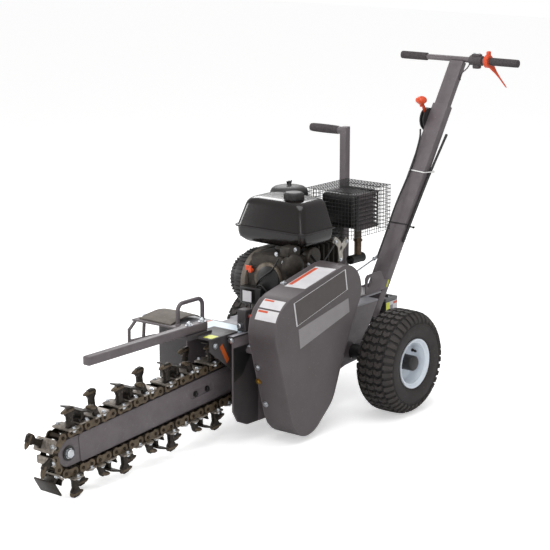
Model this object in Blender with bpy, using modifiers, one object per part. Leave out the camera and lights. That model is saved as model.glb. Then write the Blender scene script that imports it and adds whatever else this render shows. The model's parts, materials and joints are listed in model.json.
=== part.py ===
"""Walk-behind trencher: chain boom, belt drive, engine, T-handle and two wheels, as separate pieces.

Metres, +Z up. The machine's own axes start at the wheel axle: -X is towards the digging nose,
+X towards the handle, Z = 0 is the ground. The empty ground_centre moves all of it so that the
world origin lies on the ground at the middle of the machine's length.
"""

import math

import bmesh
import bpy
from mathutils import Matrix, Vector

# Overall placing
axle_from_middle = 0.3210
seat_gap = 0.0003
run_gap = 0.0003

# Wheels: 15x6.00-6 turf tyres on pressed rims
tyre_radius = 0.1917
tyre_width = 0.152
wheel_track = 0.626
tyre_sides = 24
rim_flange_radius = 0.0916
rim_seat_radius = 0.076
rim_width = 0.140
rim_wall = 0.005
hub_radius = 0.025
hub_cap_radius = 0.028
hub_cap_reach = 0.383
hub_reach = 0.015
rim_disc_face = 0.005
rim_disc_back = 0.016
axle_radius = 0.0127
axle_tube_radius = 0.028
axle_tube_half = 0.232
wheel_y = wheel_track / 2
tyre_flat = math.cos(math.pi / tyre_sides)
wheel_turn = (-math.pi / 2, math.pi / tyre_sides + math.pi / 2, 0)
axle_z = tyre_radius * tyre_flat

# Chain, sprocket and boom
chain_pitch = 0.0381
chain_links = 60
sprocket_teeth = 12
nose_pitch_radius = 0.0655
roller_radius = 0.0105
link_thickness = 0.006
link_inner_half = 0.024
link_half = 0.0150
head_x = -0.485
head_z = 0.224
boom_slope = math.radians(4.52)
bar_half_height = 0.045
bar_half_width = 0.021
bar_cheek = 0.008
bar_web = 0.006
guide_half_width = 0.010
nose_wheel_half = 0.0115
sprocket_half = 0.008
shaft_radius = 0.0175
nose_pin_radius = 0.012
bearing_tube_radius = 0.030
bearing_flange_radius = 0.046

# Cutters, measured outwards from the chain's pitch line
cutters_every = 6
tooth_reach = 0.084
tooth_radius = 0.0085
tooth_side = 0.026
tooth_nose = 0.022
base_plate_out = 0.0205
cup_reach = 0.066
small_tooth_reach = 0.060

# Frame
plate_thickness = 0.006
frame_half_width = 0.106
deck_top = 0.360
deck_rear = 0.262
deck_near_rear = 0.155
deck_tongue_half = 0.045
deck_far = 0.156
housing_top = 0.392
housing_front = -0.700
riser_x = -0.563
hood_rear = -0.372
hood_half = 0.062
plate_rear = 0.300
plate_tongue_top = 0.266
housing_far = 0.232
spoil_bottom = 0.190

# Belt drive and its guard
crank_x = -0.280
crank_z = 0.490
engine_pulley_radius = 0.050
driven_pulley_radius = 0.092
pulley_groove = 0.013
idler_radius = 0.030
idler_place = (-0.469, 0.433)
idler_pivot = (-0.585, 0.400)
belt_width = 0.017
belt_depth = 0.010
belt_y = -0.212
guard_face_y = -0.270
guard_back_y = -0.152
guard_wall = 0.003
guard_plate = 0.004
guard_crank = (crank_x, crank_z, 0.100)
guard_front = (-0.550, 0.411, 0.122)
guard_foot = (-0.475, 0.131, 0.115)
guard_heel = (-0.420, 0.170, 0.110)
guard_lug_root = -0.200
rod_end = (-0.074, -0.140, 0.494)

# Engine
engine_rail_height = 0.015
engine_base = deck_top + engine_rail_height
crankcase_front = -0.365
crankcase_rear = -0.185
crankcase_near = -0.085
crankcase_far = 0.095
crankcase_top = 0.600
tank_low = (-0.312, -0.105, 0.620)
tank_high = (-0.118, 0.205, 0.785)
tank_seam_z = 0.681
tank_lean = 0.4
tank_seam_out = 0.008
cap_radius = 0.037
cap_height = 0.027
cap_place = (-0.227, 0.0)
crank_radius = 0.0127
blower_radius = 0.108
recoil_radius = 0.080
blower_far = 0.158
recoil_far = 0.198
head_rear = -0.030
head_far = 0.080
cleaner_place = (-0.035, 0.172)
cleaner_radius = 0.072
cleaner_top = 0.790
muffler_low = (0.019, -0.098, 0.635)
muffler_high = (0.161, 0.080, 0.775)
cage_low = (-0.0325, -0.115, 0.620)
cage_high = (0.218, 0.092, 0.790)
cage_wire = 0.005

# Handle
column_angle = math.radians(57)
column_front = (0.433, 0.595)
column_bottom = 0.258
column_step = 1.022
lower_wide, lower_deep, lower_wall = 0.072, 0.036, 0.004
upper_wide, upper_deep, upper_wall = 0.063, 0.0272, 0.003
upper_inside = 0.300
tee_reach = 1.0690
tee_radius = 0.0115
tee_half = 0.270
grip_radius = 0.0155
grip_length = 0.120
throttle_y = (-0.114, -0.052)
throttle_hub_y = -0.136
cable_radius = 0.0035
quadrant_z = 0.9675
quadrant_y = 0.0463
quadrant_reach = 0.045
knob_place = (0.6485, 1.0465)
knob_radius = 0.0225
choke_place = (0.072, 0.542)
lift_bow_radius = 0.0075
lift_bow_top = 0.472
battery_top = 0.316
conduit_radius = 0.005
lift_place = (0.245, 0.122)
lift_pivot_z = 0.392
lift_top = 0.982
lift_square = 0.028

parts = bpy.data.collections.new("walk_behind_trencher")
cutters = bpy.data.collections.new("cutters")
looks = {}


def clear_scene():
    for old in list(bpy.data.objects):
        bpy.data.objects.remove(old, do_unlink=True)
    for group in (parts, cutters):
        bpy.context.scene.collection.children.link(group)


def look(name, red, green, blue, roughness, metallic=0.0):
    made = bpy.data.materials.new(name)
    made.use_nodes = True
    shader = made.node_tree.nodes["Principled BSDF"]
    shader.inputs["Base Color"].default_value = (red, green, blue, 1.0)
    shader.inputs["Roughness"].default_value = roughness
    shader.inputs["Metallic"].default_value = metallic
    looks[name] = made


def own_look(obj, name):
    """Each piece has its own copy of the finish, so that one can be recoloured alone."""
    made = looks[name].copy()
    made.name = f"{obj.name}_{name}"
    obj.data.materials.clear()
    obj.data.materials.append(made)


def place(name, data, where=(0, 0, 0), turn=(0, 0, 0), finish=None):
    """A new object in the machine's axes, held by the ground_centre empty."""
    obj = bpy.data.objects.new(name, data)
    (parts if finish else cutters).objects.link(obj)
    obj.parent = bpy.data.objects["ground_centre"]
    obj.location = where
    obj.rotation_euler = turn
    if finish:
        own_look(obj, finish)
    else:
        obj.hide_render = True
        obj.display_type = "WIRE"
    return obj


def mesh_from(bm, name):
    bmesh.ops.recalc_face_normals(bm, faces=bm.faces)
    data = bpy.data.meshes.new(name)
    bm.to_mesh(data)
    bm.free()
    return data


def block(name, low, high, finish=None, turn=(0, 0, 0), bevel=0.0):
    """A box from its low to its high corner, turned about its middle."""
    low, high = Vector(low), Vector(high)
    bm = bmesh.new()
    bmesh.ops.create_cube(bm, size=1.0, matrix=Matrix.Diagonal((*(high - low), 1.0)))
    if bevel:
        bmesh.ops.bevel(bm, geom=bm.edges, offset=bevel, segments=1, affect="EDGES")
    return place(name, mesh_from(bm, name), (low + high) / 2, turn, finish)


def sheet(name, outline, middle_y, thickness, finish=None, holes=()):
    """A flat plate in the XZ plane: a filled 2D curve with half its thickness as extrude."""
    curve = bpy.data.curves.new(name, "CURVE")
    curve.dimensions = "2D"
    curve.fill_mode = "BOTH"
    curve.extrude = thickness / 2
    for loop in (outline, *holes):
        spline = curve.splines.new("POLY")
        spline.points.add(len(loop) - 1)
        for point, (x, z) in zip(spline.points, loop):
            point.co = (x, z, 0, 1)
        spline.use_cyclic_u = True
    return place(name, curve, (0, middle_y, 0), (math.pi / 2, 0, 0), finish)


def as_mesh(obj):
    """The evaluated shape of a curve as a mesh object of the same name, with its caps welded."""
    bpy.context.view_layer.update()
    graph = bpy.context.evaluated_depsgraph_get()
    data = bpy.data.meshes.new_from_object(obj.evaluated_get(graph))
    bm = bmesh.new()
    bm.from_mesh(data)
    bmesh.ops.remove_doubles(bm, verts=bm.verts, dist=1e-5)
    bmesh.ops.recalc_face_normals(bm, faces=bm.faces)
    bm.to_mesh(data)
    bm.free()
    name, group, where = obj.name, obj.users_collection[0], obj.matrix_world.copy()
    hidden, old = obj.hide_render, obj.data
    bpy.data.objects.remove(obj, do_unlink=True)
    made = bpy.data.objects.new(name, data)
    group.objects.link(made)
    made.parent = bpy.data.objects["ground_centre"]
    made.matrix_world = where
    made.hide_render = hidden
    made.display_type = "WIRE" if hidden else "TEXTURED"
    if not data.materials and old.materials:
        data.materials.append(old.materials[0])
    return made


def turned(name, profile, where, axis="Y", steps=20, finish=None, closed=False):
    """A turned piece: the profile's (radius, distance along the axis) points and a Screw.

    The profile is put in the order that runs down its outer side, so that the faces look out.
    """
    data = bpy.data.meshes.new(name)
    count = len(profile)
    loop = zip(profile, [*profile[1:], profile[0]])
    if sum(r0 * h1 - r1 * h0 for (r0, h0), (r1, h1) in loop) > 0:
        profile = profile[::-1]
    edges = [(i, i + 1) for i in range(count - 1)] + ([(count - 1, 0)] if closed else [])
    data.from_pydata([(r, 0, h) for r, h in profile], edges, [])
    turn = {"Y": (-math.pi / 2, 0, 0), "Z": (0, 0, 0), "X": (0, math.pi / 2, 0)}[axis]
    obj = place(name, data, where, turn, finish)
    screw = obj.modifiers.new("Screw", "SCREW")
    screw.axis = "Z"
    screw.steps = screw.render_steps = steps
    screw.use_merge_vertices = True
    screw.merge_threshold = 1e-5
    screw.use_smooth_shade = False
    return obj


def bore(radius, sides, gap=seat_gap):
    """The corner radius of a bore with this many sides whose flats clear a round of this radius."""
    return (radius + gap) / math.cos(math.pi / sides)


def rod(name, radius, start, end, finish=None, sides=12):
    """A straight round bar between two points."""
    start, end = Vector(start), Vector(end)
    bm = bmesh.new()
    bmesh.ops.create_cone(
        bm, cap_ends=True, segments=sides, radius1=radius, radius2=radius,
        depth=(end - start).length,
    )
    turn = (end - start).to_track_quat("Z", "Y").to_euler()
    return place(name, mesh_from(bm, name), (start + end) / 2, turn, finish)


def tube(name, points, radius, finish=None, fineness=1):
    """A bent bar or cable: a POLY curve with a round bevel and filled caps."""
    curve = bpy.data.curves.new(name, "CURVE")
    curve.dimensions = "3D"
    curve.bevel_depth = radius
    curve.bevel_resolution = fineness
    curve.use_fill_caps = True
    spline = curve.splines.new("POLY")
    spline.points.add(len(points) - 1)
    for point, where in zip(spline.points, points):
        point.co = (*where, 1)
    return place(name, curve, finish=finish)


def boolean(obj, other, operation):
    step = obj.modifiers.new(f"{operation.title()} {other.name}", "BOOLEAN")
    step.operation = operation
    step.solver = "EXACT"
    step.object = other
    return obj


def join(obj, *others):
    for other in others:
        boolean(obj, other, "UNION")
    return obj


def cut(obj, *others):
    for other in others:
        boolean(obj, other, "DIFFERENCE")
    return obj


def smooth_route(points, steps):
    """Points along a smooth curve through the given ones (Catmull-Rom)."""
    ends = [points[0], *points, points[-1]]
    route = []
    for i in range(1, len(ends) - 2):
        a, b, c, d = (Vector(ends[i + k]) for k in (-1, 0, 1, 2))
        for k in range(steps):
            t = k / steps
            route.append(
                0.5 * (2 * b + (c - a) * t + (2 * a - 5 * b + 4 * c - d) * t * t
                       + (3 * b - a - 3 * c + d) * t ** 3)
            )
    return [*route, Vector(points[-1])]


def arc(centre, radius, start, end, count):
    """Points on an arc in the XZ plane, angles in degrees from +X towards +Z."""
    angles = (math.radians(start + (end - start) * i / (count - 1)) for i in range(count))
    return [(centre[0] + radius * math.cos(a), centre[1] + radius * math.sin(a)) for a in angles]


def ring(centre, radius, count=12):
    """A closed round outline in the XZ plane."""
    return arc(centre, radius, 0, 360 * (count - 1) / count, count)


def band_round(circles, grow, step=20):
    """The outline of a belt drawn tight round (x, z, radius) circles given anticlockwise."""
    points = []
    for i, (x, z, r) in enumerate(circles):
        px, pz, pr = circles[i - 1]
        nx, nz, nr = circles[(i + 1) % len(circles)]

        def tangent(x0, z0, r0, x1, z1, r1):
            apart = math.hypot(x1 - x0, z1 - z0)
            return math.degrees(math.atan2(z1 - z0, x1 - x0) - math.acos((r0 - r1) / apart))

        start = tangent(px, pz, pr, x, z, r)
        end = tangent(x, z, r, nx, nz, nr)
        while end < start:
            end += 360
        points += arc((x, z), r + grow, start, end, max(2, 2 + int((end - start) / step)))
    return points


def loft(name, rings, finish=None):
    """A closed body through rings of equal point counts, for unlike sections."""
    bm = bmesh.new()
    rows = [[bm.verts.new(point) for point in points] for points in rings]
    for below, above in zip(rows, rows[1:]):
        for i in range(len(below)):
            j = (i + 1) % len(below)
            bm.faces.new((below[i], below[j], above[j], above[i]))
    bm.faces.new(reversed(rows[0]))
    bm.faces.new(rows[-1])
    return place(name, mesh_from(bm, name), finish=finish)


def soft_rectangle(low, high, z, corner):
    """A level rectangle with chamfered corners, as one ring of a loft."""
    (x0, y0), (x1, y1) = low, high
    return [
        (x0 + corner, y0, z), (x1 - corner, y0, z), (x1, y0 + corner, z), (x1, y1 - corner, z),
        (x1 - corner, y1, z), (x0 + corner, y1, z), (x0, y1 - corner, z), (x0, y0 + corner, z),
    ]


def inset_ring(low, high, z, inset, corner, lean=1.0):
    """A ring drawn in from the box's sides, by less at the rear where lean is under one."""
    rear = inset * lean if inset > 0 else inset
    return soft_rectangle(
        (low[0] + inset, low[1] + inset), (high[0] - rear, high[1] - inset), z, corner
    )


# The chain's path: head circle, upper run, nose circle, lower run, in units of one pitch
sprocket_radius = chain_pitch / (2 * math.sin(math.pi / sprocket_teeth))
head_step = 2 * math.pi / sprocket_teeth
nose_step = 2 * math.asin(chain_pitch / (2 * nose_pitch_radius))
along = Vector((-math.cos(boom_slope), -math.sin(boom_slope)))
across = Vector((-math.sin(boom_slope), math.cos(boom_slope)))
head = Vector((head_x, head_z))


def path_parts(centres):
    """Lengths of the four stretches in pitches, and the tangent angle, for a centre distance."""
    tilt = math.asin((sprocket_radius - nose_pitch_radius) / centres)
    run = centres * math.cos(tilt) / chain_pitch
    return run, (math.pi - 2 * tilt) / nose_step, run, (math.pi + 2 * tilt) / head_step, tilt


def boom_reach():
    """The centre distance that makes the whole loop chain_links pitches long."""
    reach = chain_links * chain_pitch / 2
    for _ in range(20):
        reach += (chain_links - sum(path_parts(reach)[:4])) * chain_pitch / 2
    return reach


centre_distance = boom_reach()
nose = head + along * centre_distance
run_upper, turn_nose, run_lower, _, run_tilt = path_parts(centre_distance)


def chain_at(t):
    """Place, travel direction and outward direction at t pitches from the head's upper tangent."""
    t %= chain_links
    upper_out = across * math.cos(run_tilt) + along * math.sin(run_tilt)
    lower_out = -across * math.cos(run_tilt) + along * math.sin(run_tilt)
    if t < run_upper:
        travel = Vector((-upper_out.y, upper_out.x))
        return head + upper_out * sprocket_radius + travel * t * chain_pitch, travel, upper_out
    t -= run_upper
    if t < turn_nose:
        out = Matrix.Rotation(t * nose_step, 2) @ upper_out
        return nose + out * nose_pitch_radius, Vector((-out.y, out.x)), out
    t -= turn_nose
    if t < run_lower:
        travel = Vector((-lower_out.y, lower_out.x))
        start = nose + lower_out * nose_pitch_radius
        return start + travel * t * chain_pitch, travel, lower_out
    t -= run_lower
    out = Matrix.Rotation(t * head_step, 2) @ lower_out
    return head + out * sprocket_radius, Vector((-out.y, out.x)), out


head_first_pin = math.ceil(run_upper + turn_nose + run_lower)


def islands(name, pieces):
    """Many small closed solids in one helper mesh, each (vertices, faces)."""
    bm = bmesh.new()
    for points, faces in pieces:
        made = [bm.verts.new(point) for point in points]
        for face in faces:
            bm.faces.new([made[i] for i in face])
    return place(name, mesh_from(bm, name))


BOX_FACES = ((0, 1, 3, 2), (4, 6, 7, 5), (0, 4, 5, 1), (2, 3, 7, 6), (0, 2, 6, 4), (1, 5, 7, 3))


def chain_box(t, travel_span, y_span, out_span, lean=0.0):
    """A box in the chain's own directions at pitch t; lean tips its top forwards."""
    centre, travel, out = chain_at(t)
    points = []
    for s in travel_span:
        for y in y_span:
            for o in out_span:
                p = centre + travel * (s + lean * (o - out_span[0])) + out * o
                points.append((p.x, y, p.y))
    return points, BOX_FACES


def chain_prism(t, y_span, radius, sides=6):
    """A roller across the chain at pitch t."""
    centre, _, out = chain_at(t)
    start = math.atan2(out.y, out.x)
    points = []
    for y in y_span:
        for i in range(sides):
            a = start + 2 * math.pi * (i + 0.5) / sides
            points.append((centre.x + radius * math.cos(a), y, centre.y + radius * math.sin(a)))
    faces = [(i, (i + 1) % sides, sides + (i + 1) % sides, sides + i) for i in range(sides)]
    return points, [*faces, tuple(range(sides)), tuple(range(sides, 2 * sides))]


def chain_tooth(t, y, reach, radius, sides=6):
    """A pointed tooth that lies along the travel direction with its tip in front."""
    centre, travel, out = chain_at(t)
    points = []
    for s in (-0.014, 0.012):
        for i in range(sides):
            a = 2 * math.pi * i / sides
            p = centre + travel * s + out * (reach - radius + radius * math.cos(a))
            points.append((p.x, y + radius * math.sin(a), p.y))
    tip = centre + travel * (0.012 + tooth_nose) + out * (reach - radius * 1.4)
    points.append((tip.x, y, tip.y))
    faces = [(i, (i + 1) % sides, sides + (i + 1) % sides, sides + i) for i in range(sides)]
    faces += [(sides + i, sides + (i + 1) % sides, 2 * sides) for i in range(sides)]
    return points, [*faces, tuple(range(sides))]


def chain_half(name, first, last, finish):
    """Links first to last of the loop: two side bands, the rollers and the cutters on them."""
    start, end = first - 0.5 + 0.0004 / chain_pitch, last + 0.5
    ends = (0, run_upper, run_upper + turn_nose, run_upper + turn_nose + run_lower)
    on_curve = [t for t in range(first, last + 1) if ends[1] < t < ends[2] or t > ends[3]]
    marks = sorted({start, end, *on_curve, *(t for t in ends if start < t < end)})

    def edge(side):
        loop = []
        for mark in marks:
            centre, _, out = chain_at(mark)
            p = centre + out * link_half * side
            loop.append((p.x, p.y))
        return loop

    outline = edge(1) + edge(-1)[::-1]
    plate_y = link_inner_half + link_thickness / 2
    near = as_mesh(sheet(name, outline, -plate_y, link_thickness, finish))
    far = as_mesh(sheet(f"{name}_far_plates", outline, plate_y, link_thickness))
    inside = link_inner_half + link_thickness / 3
    rollers = islands(
        f"{name}_rollers",
        [chain_prism(t, (-inside, inside), roller_radius) for t in range(first, last + 1)],
    )
    foot = link_half - 0.003
    bases, posts, teeth = [], [], []
    for t in range(first, last + 1):
        place_in_set = t % cutters_every
        if place_in_set in (0, 2):
            side = 1 if place_in_set == 2 else -1
            span = sorted((-side * 0.034, side * 0.050))
            bases.append(chain_box(t, (-0.022, 0.022), span, (foot, base_plate_out)))
            body = sorted((side * (tooth_side - 0.007), side * (tooth_side + 0.007)))
            posts.append(chain_box(
                t, (-0.012, 0.010), body, (base_plate_out - 0.002, tooth_reach - tooth_radius)))
            teeth.append(chain_tooth(t, side * tooth_side, tooth_reach, tooth_radius))
        elif place_in_set == 3:
            bases.append(chain_box(t, (-0.012, 0.012), (-0.044, 0.034), (foot, base_plate_out)))
            body = (-0.034, -0.022)
            posts.append(chain_box(
                t, (-0.010, 0.006), body,
                (base_plate_out - 0.002, small_tooth_reach - tooth_radius), 0.35))
            teeth.append(chain_tooth(t + 0.3, -0.028, small_tooth_reach, tooth_radius))
        elif place_in_set == 4 and t < last:
            bases.append(chain_box(t + 0.4, (-0.020, 0.020), (-0.034, 0.034), (foot, base_plate_out)))
            posts.append(chain_box(
                t + 0.4, (-0.010, -0.004), (-0.020, 0.020), (base_plate_out - 0.002, cup_reach - 0.012)))
            teeth.append(cup_blade(t + 0.4))
    join(near, far, rollers)
    join(near, islands(f"{name}_base_plates", bases), islands(f"{name}_posts", posts))
    join(near, islands(f"{name}_teeth", teeth))
    return near


def cup_blade(t):
    """The wide tilted blade: a flat bar across the chain, higher in front."""
    centre, travel, out = chain_at(t)
    points = []
    for s, o in ((0.026, cup_reach), (-0.026, cup_reach - 0.018)):
        for y in (-0.046, 0.046):
            for rise in (-0.005, 0.0):
                p = centre + travel * s + out * (o + rise)
                points.append((p.x, y, p.y))
    return points, BOX_FACES


def make_chain():
    split = round(run_upper + turn_nose / 2)
    chain_half("chain_upper", 0, split - 1, "chain steel")
    chain_half("chain_lower", split, chain_links - 1, "chain steel")


def make_sprocket():
    pocket = roller_radius + 0.0012
    centre, _, out = chain_at(head_first_pin)
    phase = math.atan2(out.y, out.x)
    outline = []
    for i in range(sprocket_teeth):
        middle = phase + head_step * i
        pin = head + sprocket_radius * Vector((math.cos(middle), math.sin(middle)))
        for k in range(5):
            a = middle - math.pi / 2 - math.radians(8) - math.radians(164) * k / 4
            outline.append((pin.x + pocket * math.cos(a), pin.y + pocket * math.sin(a)))
        for off in (0.42, 0.58):
            a = middle + head_step * off
            tip = head + (sprocket_radius + 0.007) * Vector((math.cos(a), math.sin(a)))
            outline.append((tip.x, tip.y))
    sheet("drive_sprocket", outline, 0, 2 * sprocket_half, "bare steel",
          holes=[ring(head, bore(shaft_radius, 14), 14)])
    shaft_near = guard_face_y + guard_wall + 0.006
    turned("head_shaft", [(0, frame_half_width + 0.022), (shaft_radius, frame_half_width + 0.022),
                          (shaft_radius, shaft_near), (0, shaft_near)],
           (head.x, 0, head.y), steps=14, finish="bare steel")


def make_boom():
    ends = [(*nose, bar_half_height), (*head, bar_half_height)]
    bar = as_mesh(sheet("boom_bar", band_round(ends, 0, 30), 0, 2 * bar_half_width, "frame paint"))
    inner_y = bar_half_width - bar_cheek
    middle = (nose + head) / 2
    channel = block(
        "boom_channel",
        (middle.x - centre_distance, -inner_y, middle.y - bar_half_height + bar_web),
        (middle.x + centre_distance, inner_y, middle.y + bar_half_height - bar_web),
        turn=(0, -boom_slope, 0),
    )
    nose_slot = rod("boom_nose_slot", nose_pitch_radius - roller_radius + 0.004,
                    (nose.x, -inner_y, nose.y), (nose.x, inner_y, nose.y), sides=24)
    head_slot = rod("boom_head_slot", sprocket_radius + 0.012,
                    (head.x, -inner_y, head.y), (head.x, inner_y, head.y), sides=24)
    head_bore = rod("boom_head_bore", bore(bearing_tube_radius, 20),
                    (head.x, -0.1, head.y), (head.x, 0.1, head.y), sides=20)
    pin_bore = rod("boom_pin_bore", bore(nose_pin_radius, 12),
                   (nose.x, -0.1, nose.y), (nose.x, 0.1, nose.y), sides=12)
    guides = []
    guide_from = nose - along * (nose_pitch_radius + 0.012)
    guide_to = head + along * (sprocket_radius + 0.020)
    reach = nose_pitch_radius - roller_radius - 0.0005
    for side in (1, -1):
        outer_nose = guide_from + across * side * (reach + 0.0009)
        outer_head = guide_to + across * side * (sprocket_radius - roller_radius - 0.0022)
        inner_nose = guide_from + across * side * (bar_half_height - 0.003)
        inner_head = guide_to + across * side * (bar_half_height - 0.003)
        outline = [outer_nose, outer_head, inner_head, inner_nose]
        guides.append(as_mesh(sheet(
            f"boom_guide_{side}", [tuple(p) for p in outline], 0, 2 * guide_half_width)))
    cut(bar, channel)
    join(bar, *guides)
    cut(bar, nose_slot, head_slot, head_bore, pin_bore)
    wheel_reach = nose_pitch_radius - roller_radius - 0.0006
    half = nose_wheel_half - 0.001
    pin_bore_radius = bore(nose_pin_radius, 24, run_gap)
    turned("nose_wheel", [
        (pin_bore_radius, half), (0.022, half), (0.026, half - 0.003),
        (wheel_reach - 0.004, half - 0.003), (wheel_reach, half - 0.005),
        (wheel_reach, 0.005 - half), (wheel_reach - 0.004, 0.003 - half),
        (0.026, 0.003 - half), (0.022, -half), (pin_bore_radius, -half),
    ], (nose.x, 0, nose.y), steps=24, finish="bare steel", closed=True)
    head_out = bar_half_width + seat_gap
    turned("nose_pin", [
        (0, head_out + 0.010), (0.016, head_out + 0.010), (0.018, head_out + 0.006),
        (0.018, head_out), (nose_pin_radius, head_out), (nose_pin_radius, -head_out),
        (0.018, -head_out), (0.018, -head_out - 0.006), (0.016, -head_out - 0.010),
        (0, -head_out - 0.010),
    ], (nose.x, 0, nose.y), steps=14, finish="zinc")


def frame_plate(name, side):
    """A side plate with the bearing housing of the head shaft fused to it, and the axle's bore."""
    front, rear = housing_front, plate_rear
    deck_under = deck_top - plate_thickness - seat_gap
    lid_under = housing_top - plate_thickness - seat_gap
    slant = deck_near_rear - (deck_under - plate_tongue_top) / math.tan(column_angle)
    outline = [
        (front, 0.125), (front + 0.025, 0.084), (front + 0.075, 0.062), (-0.500, 0.060),
        (-0.300, 0.085), (-0.050, 0.146), (0.035, 0.152), (0.200, 0.245), (rear, 0.245),
        (rear, plate_tongue_top), (slant, plate_tongue_top), (deck_near_rear, deck_under),
        (riser_x - seat_gap, deck_under), (riser_x - seat_gap, lid_under), (front, lid_under),
    ]
    shaft_bore = bore(shaft_radius, 18, run_gap)
    holes = [ring((0, axle_z), bore(axle_tube_radius, 16), 16), ring(head, shaft_bore, 18)]
    middle = side * (frame_half_width - plate_thickness / 2)
    plate = as_mesh(sheet(name, outline, middle, plate_thickness, "frame paint", holes=holes))
    inner = bar_half_width - bar_cheek + 0.0005
    flange_out = frame_half_width + 0.012
    profile = [
        (shaft_bore, inner), (bearing_tube_radius, inner),
        (bearing_tube_radius, frame_half_width - plate_thickness / 2),
        (bearing_flange_radius, frame_half_width - plate_thickness / 2),
        (bearing_flange_radius, flange_out - 0.003), (bearing_flange_radius - 0.003, flange_out),
        (shaft_bore, flange_out),
    ]
    housing = turned(f"{name}_bearing", [(r, side * h) for r, h in profile],
                     (head.x, 0, head.y), steps=18, closed=True)
    return join(plate, housing)


def make_deck():
    """The engine's deck with the open-fronted hood over the chain's head and the lift lever's ears."""
    half, under = frame_half_width, deck_top - plate_thickness
    deck = block("engine_deck", (riser_x, -half, under), (deck_rear, half, deck_top), "deck paint")
    shelf = block("deck_shelf", (-0.400, half - 0.002, under), (deck_rear - 0.0002, deck_far, deck_top))
    riser = block("deck_riser", (riser_x, -half, under + 0.001),
                  (riser_x + plate_thickness, half, housing_top - 0.0005))
    hood = block("chain_hood", (riser_x + 0.001, -hood_half, under + 0.0005),
                 (hood_rear, hood_half, housing_top))
    opening = block("hood_opening", (riser_x - 0.01, 0.004 - hood_half, under - 0.01),
                    (hood_rear - 0.004, hood_half - 0.004, housing_top - 0.004))
    rails = [block(f"engine_rail_{i}", (-0.350, y - 0.020, deck_top - 0.001),
                   (-0.080, y + 0.020, engine_base - seat_gap)) for i, y in enumerate((-0.055, 0.065))]
    notch = block("deck_notch", (deck_near_rear, -half - 0.01, under - 0.01),
                  (deck_rear + 0.01, -deck_tongue_half, deck_top + 0.01))
    cut(join(deck, shelf, riser, hood), opening, notch)
    join(deck, *rails)
    x, y = lift_place
    half = lift_square / 2
    cheeks = []
    for side in (-1, 1):
        cheek_y = y + side * (half + 0.005)
        cheeks.append(block(f"lift_cheek_{side}", (x - 0.022, cheek_y - 0.003, deck_top - 0.002),
                            (x + 0.016, cheek_y + 0.003, lift_pivot_z + 0.016)))
    pin = rod("lift_pin", 0.006, (x, y - half - 0.006, lift_pivot_z),
              (x, y + half + 0.006, lift_pivot_z), sides=12)
    join(deck, *cheeks, pin)


def make_frame():
    front = housing_front
    half = frame_half_width
    for side, name in ((-1, "frame_plate_near"), (1, "frame_plate_far")):
        frame_plate(name, side)
    make_deck()
    lid = block("housing_lid", (front, -half, housing_top - plate_thickness),
                (riser_x - seat_gap, housing_far, housing_top), "deck paint")
    lip = block("housing_lip", (front + 0.006, half + seat_gap, housing_top - 0.040),
                (riser_x - 0.010, half + 0.004, housing_top - 0.001))
    spoil = block("spoil_plate", (front + 0.0002, half + seat_gap, spoil_bottom),
                  (front + 0.005, housing_far - 0.0002, housing_top - 0.002))
    wing = block("spoil_wing", (front + 0.001, housing_far - 0.004, spoil_bottom + 0.060),
                 (riser_x - 0.010, housing_far - 0.0004, housing_top - 0.003))
    join(lid, lip, spoil, wing)
    turned("axle", [
        (0, hub_cap_reach - 0.012), (axle_radius, hub_cap_reach - 0.012),
        (axle_radius, axle_tube_half), (axle_tube_radius, axle_tube_half),
        (axle_tube_radius, -axle_tube_half), (axle_radius, -axle_tube_half),
        (axle_radius, 0.012 - hub_cap_reach), (0, 0.012 - hub_cap_reach),
    ], (0, 0, axle_z), steps=18, finish="black parts")
    make_front_fittings()


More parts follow.
